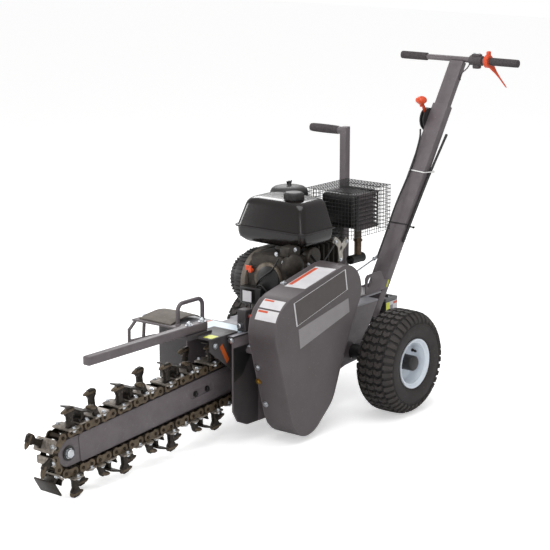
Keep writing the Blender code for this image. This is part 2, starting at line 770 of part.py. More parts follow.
def make_front_fittings():
    top = housing_top + seat_gap
    bar_bottom, bar_size = housing_top + 0.0165, 0.030
    block("restraint_bar", (-1.300, -bar_size / 2, bar_bottom),
          (-0.722, bar_size / 2, bar_bottom + bar_size), "frame paint", bevel=0.003)
    shelf = block("bar_bracket", (-0.790, -0.084, top), (-0.645, 0.024, top + 0.006), "frame paint")
    block_under = block("bar_clamp", (-0.835, -0.026, top + 0.001), (-0.715, 0.024, bar_bottom - seat_gap))
    clear_x, lid_under = housing_front - seat_gap, housing_top - plate_thickness - seat_gap
    gusset = as_mesh(sheet("bar_bracket_gusset", [
        (-0.789, top + 0.004), (-0.789, 0.352), (-0.672, 0.265), (-0.672, 0.180), (-0.660, 0.180),
        (-0.660, lid_under), (clear_x, lid_under), (clear_x, top + 0.004)], -0.078, 0.006))
    join(shelf, block_under, gusset)
    foot_low, foot_high = -0.712, -0.582
    handle_y, handle_top = 0.132, lift_bow_top
    route = [(foot_low, handle_y, top + 0.006 + seat_gap), (foot_low, handle_y, handle_top - 0.025)]
    route += [(x, handle_y, z) for x, z in arc(
        (foot_low + 0.025, handle_top - 0.025), 0.025, 180, 90, 4)[1:]]
    route += [(x, handle_y, z) for x, z in arc(
        (foot_high - 0.025, handle_top - 0.025), 0.025, 90, 0, 4)]
    route += [(foot_high, handle_y, top)]
    tube("lift_handle", route, lift_bow_radius, "frame paint")
    strip = loft("flap_frame", [
        [(-0.742, 0.095, z), (-0.690, 0.095, z), (-0.690, 0.200, z), (-0.708, 0.312, z),
         (-0.752, 0.312, z)] for z in (top, top + 0.006)], "frame paint")
    bars = [
        ((-0.742, 0.302, top + 0.003), (-0.778, 0.302, 0.366)),
        ((-0.778, 0.302, 0.371), (-0.779, 0.302, 0.320)),
        ((-0.779, 0.302, 0.325), (-0.708, 0.238, 0.343)),
        ((-0.734, 0.270, top + 0.003), (-0.742, 0.268, 0.333)),
    ]
    legs = [rod(f"flap_leg_{i}", 0.006, a, b, sides=6) for i, (a, b) in enumerate(bars)]
    join(strip, *legs)
    flap_bottom = top + 0.006 + seat_gap
    lower = [(-0.735, flap_bottom), (-0.690, flap_bottom + 0.009), (-0.640, flap_bottom + 0.013),
             (-0.600, flap_bottom + 0.008), (-0.578, flap_bottom - 0.001)]
    upper = [(x, z + 0.006) for x, z in reversed(lower)]
    sheet("rubber_flap", [*lower, *upper], 0.220, 0.145, "rubber")
    make_switch_box()


def make_switch_box():
    near, base = 0.003 - frame_half_width, housing_top + seat_gap
    box = block("switch_box", (-0.629, near, base), (-0.588, near + 0.038, 0.470), "black parts",
                bevel=0.003)
    cut(box, rod("stop_button_recess", bore(0.007, 12, run_gap), (-0.607, near - 0.01, 0.446),
                 (-0.607, near + 0.006, 0.446)))
    turned("stop_button", [(0, near - 0.008), (0.006, near - 0.008), (0.007, near - 0.005),
                           (0.007, near - seat_gap), (0, near - seat_gap)],
           (-0.607, 0, 0.446), steps=12, finish="red plastic")
    face = -0.629 - seat_gap
    knob_y = near + 0.018
    turned("switch_knob", [(0, face), (0.009, face), (0.009, face - 0.008), (0.006, face - 0.016),
                           (0, face - 0.016)], (0, knob_y, 0.416), "X", steps=12, finish="zinc")


def belt_circles():
    pulley_inner = belt_depth + 0.001
    return [(head.x, head.y, driven_pulley_radius - pulley_inner),
            (crank_x, crank_z, engine_pulley_radius - pulley_inner)]


def pulley(name, radius, bore, centre, finish, steps=20):
    half, groove = belt_width / 2 + 0.0045, belt_width / 2 + 0.0006
    turned(name, [
        (bore, half), (radius, half), (radius, groove), (radius - pulley_groove, groove),
        (radius - pulley_groove, -groove), (radius, -groove), (radius, -half), (bore, -half),
    ], (centre[0], belt_y, centre[1]), steps=steps, finish=finish, closed=True)


def make_drive():
    circles = [guard_foot, guard_heel, guard_crank, guard_front]
    rim = guard_back_y - guard_plate / 2 - seat_gap
    cover = as_mesh(sheet("belt_guard", band_round(circles, 0), (rim + guard_face_y) / 2,
                          rim - guard_face_y, "guard paint"))
    hollow = as_mesh(sheet("guard_hollow", band_round(circles, -guard_wall),
                           rim / 2 + guard_face_y / 2 + guard_wall, rim - guard_face_y))
    cut(cover, hollow)
    crank_hole = ring((crank_x, crank_z), crank_radius + 0.012, 14)
    shaft_hole = ring(head, shaft_radius + 0.004, 14)
    back = as_mesh(sheet("guard_back", band_round(circles, 0), guard_back_y, guard_plate,
                         "frame paint", holes=[crank_hole, shaft_hole]))
    reach = -frame_half_width - seat_gap
    feet = [(-0.620, 0.330), (-0.420, 0.300), (-0.400, 0.140)]
    stands = [rod(f"guard_stand_{i}", 0.012, (x, guard_back_y, z), (x, reach, z), sides=8)
              for i, (x, z) in enumerate(feet)]
    for stand in stands:
        join(back, stand)
    end_x, end_y, end_z = rod_end
    lug_end = end_x - seat_gap - 0.003
    join(back, block("guard_lug", (guard_lug_root, guard_back_y - guard_plate / 2, end_z - 0.010),
                     (lug_end, guard_back_y + guard_plate / 2, end_z + 0.010)))
    join(back, block("guard_lug_tip", (lug_end - 0.004, guard_back_y - 0.001, end_z - 0.0101),
                     (lug_end - 0.0001, end_y + 0.010, end_z + 0.0101)))
    crank_end = belt_y - belt_width / 2 - 0.012
    half, groove = belt_width / 2 + 0.0045, belt_width / 2 + 0.0006
    radius = engine_pulley_radius
    turned("engine_pulley", [
        (0, crankcase_near + 0.030), (crank_radius, crankcase_near + 0.030),
        (crank_radius, belt_y + half), (radius, belt_y + half), (radius, belt_y + groove),
        (radius - pulley_groove, belt_y + groove), (radius - pulley_groove, belt_y - groove),
        (radius, belt_y - groove), (radius, belt_y - half), (crank_radius, belt_y - half),
        (crank_radius, crank_end), (0, crank_end),
    ], (crank_x, 0, crank_z), steps=20, finish="bare steel")
    pulley("driven_pulley", driven_pulley_radius, bore(shaft_radius, 24), head, "bare steel", 24)
    belt_in, belt_out = 0, belt_depth
    loop = band_round(belt_circles(), belt_out)
    inner = band_round(belt_circles(), belt_in)
    sheet("drive_belt", loop, belt_y, belt_width, "rubber", holes=[inner])
    pulley("idler_pulley", idler_radius + 0.004, bore(0.008, 16, run_gap), idler_place, "bare steel", 16)
    arm_y = belt_y + belt_width / 2 + 0.0045 + 0.0015 + 0.003
    arm = as_mesh(sheet("idler_arm", band_round(
        [(*idler_place, 0.014), (*idler_pivot, 0.016)], 0, 40), arm_y, 0.006, "frame paint"))
    pin = rod("idler_pin", 0.008, (idler_place[0], arm_y, idler_place[1]),
              (idler_place[0], belt_y - belt_width / 2 - 0.006, idler_place[1]))
    post = rod("idler_post", 0.009, (idler_pivot[0], arm_y, idler_pivot[1]),
               (idler_pivot[0], guard_back_y - guard_plate / 2 - run_gap, idler_pivot[1]))
    join(arm, pin, post)


def make_engine():
    near, far, top = crankcase_near, crankcase_far, crankcase_top
    case = block("crankcase", (crankcase_front, near, engine_base), (crankcase_rear, far, top),
                 "cast aluminium", bevel=0.012)
    cover = rod("crankcase_cover", 0.078, (crank_x, near - 0.012, crank_z),
                (crank_x, near + 0.02, crank_z), sides=20)
    neck = block("crankcase_neck", (-0.260, -0.040, top - 0.01), (-0.200, 0.060, tank_low[2] - seat_gap))
    crank_hole = rod("crank_bore", bore(crank_radius, 20, run_gap), (crank_x, near - 0.03, crank_z),
               (crank_x, near + 0.0305, crank_z), sides=20)
    panel = crankcase_front
    box = block("ignition_box", (panel - 0.050, 0.025, 0.428), (panel + 0.004, 0.080, 0.486), bevel=0.004)
    bracket = block("ignition_box_back", (panel - 0.012, 0.028, 0.480), (panel + 0.005, 0.092, 0.558))
    cut(join(case, cover, neck, box, bracket), crank_hole)
    front = crankcase_rear + seat_gap
    cylinder = block("cylinder_head", (front, -0.045, 0.470), (head_rear, 0.065, 0.600),
                     "cast aluminium")
    fins = [block(f"fin_{i}", (x, -0.065, 0.452), (x + 0.006, head_far, 0.612))
            for i, x in enumerate((-0.165, -0.135, -0.105, -0.075, -0.045))]
    join(cylinder, *fins)
    low, high, seam = tank_low, tank_high, tank_seam_out
    levels = [
        (low[2], 0.022, 0.030), (low[2] + 0.020, 0.002, 0.026), (tank_seam_z - 0.003, 0, 0.024),
        (tank_seam_z - 0.003, -seam, 0.024), (tank_seam_z + 0.002, -seam, 0.024),
        (tank_seam_z + 0.002, 0.001, 0.024), (high[2] - 0.022, 0.022, 0.026),
        (high[2] - 0.006, 0.030, 0.026), (high[2], 0.042, 0.026),
    ]
    rings = [inset_ring(low, high, z, inset, corner, tank_lean) for z, inset, corner in levels]
    loft("fuel_tank", rings, "gloss black")
    base = high[2] + seat_gap
    turned("fuel_cap", [
        (0, base + cap_height), (cap_radius - 0.006, base + cap_height),
        (cap_radius, base + cap_height - 0.006), (cap_radius, base + 0.006),
        (cap_radius - 0.006, base), (0, base),
    ], (*cap_place, 0), "Z", 20, "black parts")
    make_cooling_side()
    make_intake_and_exhaust()


def make_cooling_side():
    near = crankcase_far + seat_gap
    blower = turned("blower_housing", [
        (0, blower_far), (blower_radius - 0.020, blower_far), (blower_radius, blower_far - 0.022),
        (blower_radius, near), (0, near),
    ], (crank_x, 0, crank_z), steps=22, finish="blower paint")
    shroud = block("blower_shroud", (crank_x, near + 0.002, 0.470), (head_rear - 0.030, 0.145, 0.598),
                   bevel=0.010)
    join(blower, shroud)
    start = blower_far + seat_gap
    turned("recoil_cover", [
        (0, recoil_far), (0.040, recoil_far), (recoil_radius - 0.016, recoil_far - 0.004),
        (recoil_radius, recoil_far - 0.018), (recoil_radius, start), (0, start),
    ], (crank_x, 0, crank_z), steps=22, finish="black parts")
    grip_x = crank_x + recoil_radius + 0.014
    grip_y = (start + recoil_far) / 2 - 0.004
    grip = rod("recoil_handle", 0.009, (grip_x, grip_y, crank_z - 0.030),
               (grip_x, grip_y, crank_z + 0.030), "black parts", sides=10)
    join(grip, rod("recoil_neck", 0.005, (grip_x, grip_y, crank_z),
                   (crank_x + recoil_radius + seat_gap, grip_y, crank_z), sides=8))
    panel = crankcase_front
    lever_x = panel - 0.012 - seat_gap
    y, z = choke_place
    choke = rod("choke_lever", 0.008, (lever_x, y, z), (lever_x - 0.014, y, z), "orange plastic", sides=10)
    blade = block("choke_blade", (lever_x - 0.013, y - 0.006, z), (lever_x - 0.009, y + 0.022, z + 0.018))
    join(choke, blade)


def make_intake_and_exhaust():
    x, y = cleaner_place
    radius, top = cleaner_radius, cleaner_top
    cleaner = turned("air_cleaner", [
        (0, top + 0.018), (0.009, top + 0.018), (0.009, top), (radius - 0.028, top),
        (radius - 0.004, top - 0.012), (radius, top - 0.026), (radius, 0.700),
        (radius - 0.012, 0.690), (radius - 0.012, 0.645), (0.045, 0.640), (0.045, 0.600), (0, 0.600),
    ], (x, y, 0), "Z", 22, "black parts")
    intake = block("intake_elbow", (-0.040, head_far + seat_gap, 0.570), (-0.008, y + 0.01, 0.614))
    mouth = block("intake_mouth", (-0.072, head_far + seat_gap, 0.6005), (-0.012, 0.110, 0.6145))
    join(cleaner, intake, mouth)
    low, high = muffler_low, muffler_high
    muffler = block("muffler", low, high, "black parts", bevel=0.012)
    port = block("exhaust_port", (head_rear + seat_gap, -0.020, 0.560), (low[0] + 0.035, 0.030, 0.652))
    pipe = rod("exhaust_pipe", 0.014, (0.098, -0.050, low[2] + 0.02), (0.098, -0.050, 0.520), sides=12)
    stub = rod("exhaust_stub", 0.017, (0.050, -0.050, 0.520), (0.126, -0.050, 0.520), sides=12)
    join(muffler, port, pipe, stub)
    bm = bmesh.new()
    low, high = Vector(cage_low), Vector(cage_high)
    cells = (4, 3, 3)
    size = high - low
    marks = {}

    def corner(i, j, k):
        if (i, j, k) not in marks:
            step = Vector((size.x * i / cells[0], size.y * j / cells[1], size.z * k / cells[2]))
            marks[i, j, k] = bm.verts.new(low + step)
        return marks[i, j, k]

    for axis, other, third in ((0, 1, 2), (1, 2, 0), (2, 0, 1)):
        for end in (0, cells[axis]):
            if axis == 2 and end == 0:
                continue
            for a in range(cells[other]):
                for b in range(cells[third]):
                    quad = []
                    for da, db in ((0, 0), (1, 0), (1, 1), (0, 1)):
                        where = [0, 0, 0]
                        where[axis], where[other], where[third] = end, a + da, b + db
                        quad.append(corner(*where))
                    bm.faces.new(quad if end else quad[::-1])
    cage = place("muffler_cage", mesh_from(bm, "muffler_cage"), finish="black parts")
    wires = cage.modifiers.new("Wires", "WIREFRAME")
    wires.thickness = cage_wire
    wires.use_replace = True
    wires.use_boundary = True
    wires.use_even_offset = False


def make_wheels():
    inner = rim_seat_radius + seat_gap
    half = tyre_width / 2
    bead = rim_width / 2 - 0.0105
    profile = [
        (inner, bead), (rim_flange_radius - 0.002, half - 0.014), (0.130, half), (0.162, half - 0.006),
        (0.181, half - 0.022), (tyre_radius, 0.030), (tyre_radius, -0.030),
    ]
    mirrored = [(r, -h) for r, h in profile[:5]][::-1]
    for side, name in ((-1, "near"), (1, "far")):
        centre = (0, side * wheel_y, axle_z)
        tyre = turned(f"tyre_{name}", [*profile, *mirrored], centre, steps=tyre_sides,
                      finish="tyre rubber", closed=True)
        tyre.rotation_euler = wheel_turn
        make_rim(name, side, centre)


def make_rim(name, side, centre):
    """A pressed rim with its outer flange and a deep dish, welded to a hub, and its cap."""
    seat, flange, half, wall = rim_seat_radius, rim_flange_radius, rim_width / 2, rim_wall
    hub_end = hub_reach
    inner = bore(axle_radius, tyre_sides, run_gap)
    back = -(wheel_y - axle_tube_half) + seat_gap
    outer = [
        (flange, half), (flange, half - wall), (seat, half - 0.010), (seat, -half + 0.010),
        (flange, -half + wall), (flange, -half), (seat - wall, -half + 0.006),
        (seat - wall, rim_disc_face), (hub_radius, rim_disc_face), (hub_radius, back), (inner, back),
        (inner, hub_end), (hub_radius, hub_end), (hub_radius, rim_disc_back - 0.005),
        (seat - wall, rim_disc_back),
        (seat - wall, half - 0.006),
    ]
    rim = turned(f"rim_{name}", [(r, side * h) for r, h in outer], centre, steps=tyre_sides,
                 finish="rim paint", closed=True)
    rim.rotation_euler = wheel_turn
    base, tip = hub_end + seat_gap, hub_cap_reach - wheel_y
    cap_bore = bore(axle_radius, 14)
    cap = [
        (0, tip), (hub_cap_radius - 0.006, tip), (hub_cap_radius, tip - 0.006),
        (hub_cap_radius, base), (cap_bore, base), (cap_bore, tip - 0.006), (0, tip - 0.006),
    ]
    turned(f"hub_cap_{name}", [(r, side * h) for r, h in cap], centre, steps=14,
           finish="black parts")


slope = Vector((math.cos(column_angle), 0, math.sin(column_angle)))
forward = Vector((-math.sin(column_angle), 0, math.cos(column_angle)))


def column_at(z):
    """The point of the column's centre line at this height."""
    front = Vector((column_front[0], 0, column_front[1])) - forward * lower_deep / 2
    return front + slope * (z - front.z) / slope.z


def square_tube(name, wide, deep, wall, start, end, finish):
    """A rectangular tube along the column's slope."""
    def section(title, w, d, a, b, look_name=None):
        middle = (a + b) / 2
        half = ((b - a).length / 2, w / 2, d / 2)
        low, high = Vector(middle) - Vector(half), Vector(middle) + Vector(half)
        return block(title, low, high, look_name, turn=(0, -column_angle, 0))

    outer = section(name, wide, deep, start, end, finish)
    inner = section(f"{name}_inside", wide - 2 * wall, deep - 2 * wall,
                    start - slope * 0.02, end + slope * 0.02)
    return cut(outer, inner)


def make_column():
    foot, step = column_at(column_bottom), column_at(column_step)
    square_tube("lower_column", lower_wide, lower_deep, lower_wall, foot, step, "frame paint")
    tee = foot + slope * ((column_step - column_bottom) / slope.z - 0.863 + tee_reach)
    square_tube("upper_column", upper_wide, upper_deep, upper_wall, step - slope * upper_inside,
                tee - slope * (tee_radius + seat_gap), "frame paint")
    rod("tee_handle", tee_radius, (tee.x, -tee_half, tee.z), (tee.x, tee_half, tee.z),
        "frame paint", sides=16)
    for side, name in ((-1, "grip_near"), (1, "grip_far")):
        inner = bore(tee_radius, 16)
        start, end = tee_half + 0.0003 - grip_length, tee_half + 0.0003
        turned(name, [(0, side * (end + 0.004)), (grip_radius, side * (end + 0.003)),
                      (grip_radius, side * start), (inner, side * start), (inner, side * end),
                      (0, side * end)], (tee.x, 0, tee.z), steps=16, finish="foam")
    make_column_base()
    make_throttle(tee)
    make_clutch()
    make_lift_lever()
    make_battery()


def make_column_base():
    top = deck_top + seat_gap
    base = block("column_base", (0.130, 0.0002 - deck_tongue_half, top),
                 (deck_rear - 0.004, deck_tongue_half - 0.0002, top + 0.006), "frame paint")
    side_y = lower_wide / 2 + seat_gap + 0.003
    foot, high, low = column_at(top + 0.002), column_at(0.394), column_at(0.371)
    ear = [(0.164, top + 0.003), (foot.x, top + 0.003), (high.x, high.z), (0.288, 0.400),
           (0.262, 0.439), (0.207, 0.438), (0.176, 0.437), (0.164, 0.426)]
    hole = [(0.188 + 0.012 * math.cos(a) + 0.006 * math.sin(a), 0.405 + 0.021 * math.sin(a))
            for a in (2 * math.pi * i / 10 for i in range(10))]
    cheek = [(0.245, top + 0.003), (foot.x, top + 0.003), (low.x, low.z), (0.250, 0.371)]
    join(base, as_mesh(sheet("column_ear", ear, -side_y, 0.006, holes=[hole])),
         as_mesh(sheet("column_cheek", cheek, side_y, 0.006)))


def make_throttle(tee):
    low, high = throttle_y
    inner = bore(tee_radius, 12)
    housing = turned("throttle_housing", [(inner, high), (0.020, high - 0.004), (0.020, low + 0.004),
                                          (inner, low)], (tee.x, 0, tee.z), steps=16,
                     finish="black parts", closed=True)
    column_side = upper_wide / 2 + seat_gap
    entry = tee - slope * 0.075
    route = smooth_route([(tee.x - 0.016, high - 0.012, tee.z - 0.008),
                          (tee.x - 0.026, high - 0.004, tee.z - 0.030),
                          (entry.x - 0.004, -column_side - 0.008, entry.z + 0.010),
                          (entry.x, -column_side - 0.0025, entry.z - 0.015)], 3)
    join(housing, as_mesh(tube("throttle_wire", route, 0.0025)))
    hub = throttle_hub_y
    lever = turned("throttle_lever", [(inner, hub + 0.010), (0.026, hub + 0.010), (0.026, hub - 0.010),
                                      (inner, hub - 0.010)], (tee.x, 0, tee.z), steps=12,
                   finish="orange plastic", closed=True)
    tip = Vector((tee.x + 0.055, -0.190, tee.z - 0.105))
    root = Vector((tee.x + 0.014, hub - 0.004, tee.z - 0.018))
    blade = rod("throttle_blade", 0.006, root, tip, sides=8)
    join(lever, blade)


def make_clutch():
    """The quadrant on the column's front, its ball-ended lever, the cable and the rod to the guard."""
    pivot = column_at(quadrant_z) + Vector((0, quadrant_y, 0))
    half = 0.0045
    back = 0.022

    def dee(middle_y, name, finish=None):
        start = math.degrees(column_angle)
        loop = [(pivot + slope * 0.048 * k - forward * back) for k in (-1, 1)]
        curved = [(pivot.x + quadrant_reach * math.cos(a), pivot.z + quadrant_reach * math.sin(a))
                  for a in (math.radians(start + 15 + 150 * i / 8) for i in range(9))]
        return as_mesh(sheet(name, [(loop[0].x, loop[0].z), (loop[1].x, loop[1].z), *curved],
                             middle_y, 0.005, finish))

    quadrant = dee(quadrant_y - half - 0.003, "quadrant", "black parts")
    other = dee(quadrant_y + half + 0.003, "quadrant_far")
    spine = block("quadrant_spine", (-0.045, -0.0095, -0.0025), (0.045, 0.0095, 0.0025),
                  turn=(0, -column_angle, 0))
    spine.location = pivot - forward * (back - 0.003)
    pin = rod("quadrant_pin", 0.005, pivot - Vector((0, 0.0095, 0)), pivot + Vector((0, 0.014, 0)),
              sides=10)
    join(quadrant, other, spine, pin)
    knob = Vector((knob_place[0], quadrant_y, knob_place[1]))
    arm = (knob - pivot).normalized()
    aside = Vector((-arm.z, 0, arm.x))
    outline = [pivot + aside * 0.010, knob + aside * 0.004, knob - aside * 0.004, pivot - aside * 0.010]
    outline = [(p.x, p.z) for p in outline] + [
        ((pivot - arm * 0.010 - aside * 0.004).x, (pivot - arm * 0.010 - aside * 0.004).z),
        ((pivot - arm * 0.010 + aside * 0.004).x, (pivot - arm * 0.010 + aside * 0.004).z)]
    lever = as_mesh(sheet("clutch_lever", outline, quadrant_y, 2 * (half - 0.001), "orange plastic",
                          holes=[ring((pivot.x, pivot.z), bore(0.005, 10, run_gap), 10)]))
    ball = turned("clutch_ball", [
        (0, 0.016), (knob_radius * 0.55, 0.0135), (knob_radius, 0.004), (knob_radius, -0.004),
        (knob_radius * 0.55, -0.0135), (0, -0.016)], knob, "Z", 12)
    join(lever, ball)
    aside = Vector((0, 0.026, 0))
    adjuster = Vector((0.326, 0.020, 0.476))

    def off_face(z, stand):
        return column_at(z) + forward * (lower_deep / 2 + stand) + aside

    route = [pivot - slope * 0.058 + forward * 0.022, off_face(0.875, 0.014),
             off_face(0.780, cable_radius + seat_gap), off_face(0.640, 0.018), off_face(0.545, 0.016),
             adjuster]
    tube("clutch_cable", smooth_route(route, 3), cable_radius, "black parts", fineness=2)
    pull_end = Vector(rod_end)
    line = (pull_end - adjuster).normalized()
    body = adjuster + line * 0.0032 - Vector((0, 0, 0.001))
    pull = rod("clutch_rod", 0.0035, body, pull_end, "zinc", sides=8)
    sleeve = rod("clutch_adjuster", 0.007, body, body + line * 0.050, sides=8)
    clevis = rod("clutch_clevis", 0.008, pull_end - line * 0.028, pull_end, sides=8)
    join(pull, sleeve, clevis)
    beside = -lower_wide / 2 - conduit_radius - seat_gap
    tube("conduit", [(0.702, beside, 0.912), (0.570, beside, 0.748), (0.410, beside, 0.526)],
         conduit_radius, "black parts", fineness=1)


def make_lift_lever():
    x, y = lift_place
    half = lift_square / 2
    lever = block("lift_lever", (x - half, y - half, lift_pivot_z - 0.022), (x + half, y + half, lift_top),
                  "frame paint")
    grip = rod("lift_grip", 0.015, (x, y + half - 0.002, lift_top - 0.016),
               (x, y + 0.160, lift_top - 0.016), sides=12)
    pin_hole = rod("lift_bore", bore(0.006, 12, run_gap), (x, y - 0.05, lift_pivot_z),
                   (x, y + 0.05, lift_pivot_z), sides=12)
    cut(join(lever, grip), pin_hole)


def make_battery():
    x = plate_rear + seat_gap
    tray = block("battery_tray", (x, -0.050, 0.206), (x + 0.092, 0.135, 0.212), "black parts")
    upright = block("battery_upright", (x, -frame_half_width, 0.206), (x + 0.004, 0.135, 0.262))
    join(tray, upright)
    battery = block("battery", (x + 0.008, -0.035, 0.212 + seat_gap), (x + 0.086, 0.120, battery_top),
                    "black parts", bevel=0.003)
    caps = [rod(f"battery_post_{i}", 0.008, (post_x, y, battery_top - 0.001),
                (post_x, y, battery_top + 0.011), sides=8)
            for i, (post_x, y) in enumerate(((x + 0.040, -0.015), (x + 0.052, 0.100)))]
    join(battery, *caps)


def main():
    clear_scene()
    middle = bpy.data.objects.new("ground_centre", None)
    parts.objects.link(middle)
    middle.location = (axle_from_middle, 0, 0)
    look("frame paint", 0.125, 0.117, 0.130, 0.45, 0.3)
    look("deck paint", 0.30, 0.30, 0.32, 0.40, 0.3)
    look("chain steel", 0.10, 0.085, 0.065, 0.50, 0.8)
    look("bare steel", 0.50, 0.50, 0.50, 0.35, 1.0)
    look("zinc", 0.75, 0.75, 0.76, 0.30, 1.0)
    look("tyre rubber", 0.025, 0.023, 0.021, 0.85)
    look("rim paint", 0.72, 0.73, 0.76, 0.40)
    look("black parts", 0.02, 0.02, 0.02, 0.45)
    look("guard paint", 0.120, 0.105, 0.105, 0.40, 0.2)
    look("rubber", 0.03, 0.025, 0.02, 0.8)
    look("cast aluminium", 0.40, 0.38, 0.35, 0.5, 0.8)
    look("gloss black", 0.008, 0.008, 0.008, 0.12)
    look("blower paint", 0.36, 0.33, 0.30, 0.45, 0.3)
    look("red plastic", 0.55, 0.03, 0.02, 0.35)
    look("orange plastic", 0.75, 0.14, 0.02, 0.4)
    look("foam", 0.04, 0.035, 0.03, 0.9)
    make_chain()
    make_sprocket()
    make_boom()
    make_frame()
    make_wheels()
    make_drive()
    make_engine()
    make_column()


main()
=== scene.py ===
"""Looks for the walk-behind trencher, laid out as an add-on and run as a script.

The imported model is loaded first. Distances are in metres in its frame. Most pieces are placed from the
wheel axle: x from the axle towards the T-handle, y towards the far wheel, z up from the ground.
"""

import json
import math

import bpy
from mathutils import Matrix, Vector

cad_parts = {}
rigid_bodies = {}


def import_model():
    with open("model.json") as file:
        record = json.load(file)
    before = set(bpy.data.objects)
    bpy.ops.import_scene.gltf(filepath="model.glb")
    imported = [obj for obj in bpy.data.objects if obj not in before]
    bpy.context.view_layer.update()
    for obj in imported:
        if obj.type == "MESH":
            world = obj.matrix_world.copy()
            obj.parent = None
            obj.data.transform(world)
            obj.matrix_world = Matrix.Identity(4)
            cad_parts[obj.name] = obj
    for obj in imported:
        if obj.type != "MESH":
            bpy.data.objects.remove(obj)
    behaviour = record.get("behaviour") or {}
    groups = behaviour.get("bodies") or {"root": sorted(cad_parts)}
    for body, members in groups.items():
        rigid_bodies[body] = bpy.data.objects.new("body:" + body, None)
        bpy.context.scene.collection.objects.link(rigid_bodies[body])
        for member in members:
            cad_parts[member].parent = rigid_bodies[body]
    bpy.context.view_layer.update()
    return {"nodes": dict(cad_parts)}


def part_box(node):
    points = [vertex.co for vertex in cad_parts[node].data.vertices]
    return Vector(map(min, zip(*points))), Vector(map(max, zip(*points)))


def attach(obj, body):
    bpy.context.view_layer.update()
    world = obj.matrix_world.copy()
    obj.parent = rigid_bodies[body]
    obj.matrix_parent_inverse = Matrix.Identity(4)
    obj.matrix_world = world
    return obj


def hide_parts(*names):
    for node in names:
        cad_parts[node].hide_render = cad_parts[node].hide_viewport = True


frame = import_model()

bl_info = {
    "name": "Walk-behind trencher looks",
    "version": (1, 0, 0),
    "blender": (4, 5, 0),
    "location": "View3D > Sidebar > Trencher",
    "description": "Models and finishes the trencher around its packed frame",
    "category": "Object",
}

axle_low, axle_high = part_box("axle")
axle_x = (axle_low.x + axle_high.x) / 2
axle_z = (axle_low.z + axle_high.z) / 2

# In degrees: edges flatter than the first are shaded smooth, CAD facets flatter than the second merged.
SMOOTH_ANGLE = 38
FLAT_ANGLE = 0.8
# The thickness of a printed film, and the light of the backdrop and of the floor's own glow.
FILM = 0.0004
WORLD_LIGHT = 0.55
FLOOR_GLOW = 0.45


def place(x, y, z):
    """A point given from the axle's middle, above the ground."""
    return Vector((axle_x + x, y, z))


# Modelling steps


def pick(*objects):
    """Leaves edit mode and selects only these, the first one active."""
    if bpy.context.mode != "OBJECT":
        bpy.ops.object.mode_set(mode="OBJECT")
    bpy.ops.object.select_all(action="DESELECT")
    for obj in objects:
        obj.select_set(True)
    if objects:
        bpy.context.view_layer.objects.active = objects[0]


def drawn(name, points, closed=True, filled=True):
    """A line drawn by extruding one vertex from point to point, closed and filled where asked."""
    pick()
    points = [Vector(point) for point in points]
    bpy.ops.mesh.primitive_plane_add(size=0.001)
    line = bpy.context.object
    line.name = name
    bpy.ops.object.mode_set(mode="EDIT")
    bpy.ops.mesh.merge(type="CENTER")
    bpy.ops.transform.translate(value=points[0])
    for start, end in zip(points, points[1:] + points[:1] * closed):
        bpy.ops.mesh.extrude_vertices_move(TRANSFORM_OT_translate={"value": end - start})
    bpy.ops.mesh.select_all(action="SELECT")
    bpy.ops.mesh.remove_doubles(threshold=1e-5)
    if filled:
        bpy.ops.mesh.edge_face_add()
    bpy.ops.object.mode_set(mode="OBJECT")
    return line


def edited(obj, *jobs):
    """Runs edit mode operators on all of a mesh, each given with its settings."""
    pick(obj)
    bpy.ops.object.mode_set(mode="EDIT")
    bpy.ops.mesh.select_all(action="SELECT")
    for job, settings in jobs:
        job(**settings)
    bpy.ops.object.mode_set(mode="OBJECT")
    return obj


def modified(obj, kind, **settings):
    """Adds a modifier with its settings and applies it."""
    pick(obj)
    made = obj.modifiers.new(kind.lower(), kind)
    for name, value in settings.items():
        setattr(made, name, value)
    bpy.ops.object.modifier_apply(modifier=made.name)
    return obj


def tidy(obj):
    """Merges doubles and turns the faces outwards."""
    return edited(obj, (bpy.ops.mesh.remove_doubles, {"threshold": 1e-6}),
                  (bpy.ops.mesh.normals_make_consistent, {"inside": False}))


def soften(obj, width=0.0, segments=2, angle=30):
    """Rounds the edges that are sharper than the angle, and shades the rest smooth."""
    if width:
        modified(obj, "BEVEL", width=width, segments=segments, limit_method="ANGLE",
                 angle_limit=math.radians(angle))
    pick(obj)
    bpy.ops.object.shade_smooth_by_angle(angle=math.radians(SMOOTH_ANGLE))
    return obj


def apply_place(obj):
    """Moves a piece's place, turn and scale into its mesh."""
    pick(obj)
    bpy.ops.object.transform_apply(location=True, rotation=True, scale=True)
    return obj


def block(name, low, high, width=0.001, segments=2):
    """A cube brought to its size and place, with its edges rounded."""
    low, high = Vector(low), Vector(high)
    pick()
    bpy.ops.mesh.primitive_cube_add(size=1, location=(low + high) / 2)
    cube = bpy.context.object
    cube.name = name
    cube.scale = high - low
    return soften(apply_place(cube), width, segments)


def plate(name, outline, axis, start, end, width, segments=2):
    """An outline drawn across an axis, filled, and extruded along it."""
    def spread(a, b):
        """A point of the outline on the starting plane."""
        return {"X": (start, a, b), "Y": (a, start, b), "Z": (a, b, start)}[axis]

    along = {"X": (end - start, 0, 0), "Y": (0, end - start, 0), "Z": (0, 0, end - start)}[axis]
    made = drawn(name, [spread(a, b) for a, b in outline])
    edited(made, (bpy.ops.mesh.extrude_region_move, {"TRANSFORM_OT_translate": {"value": along}}))
    return soften(tidy(made), width, segments)


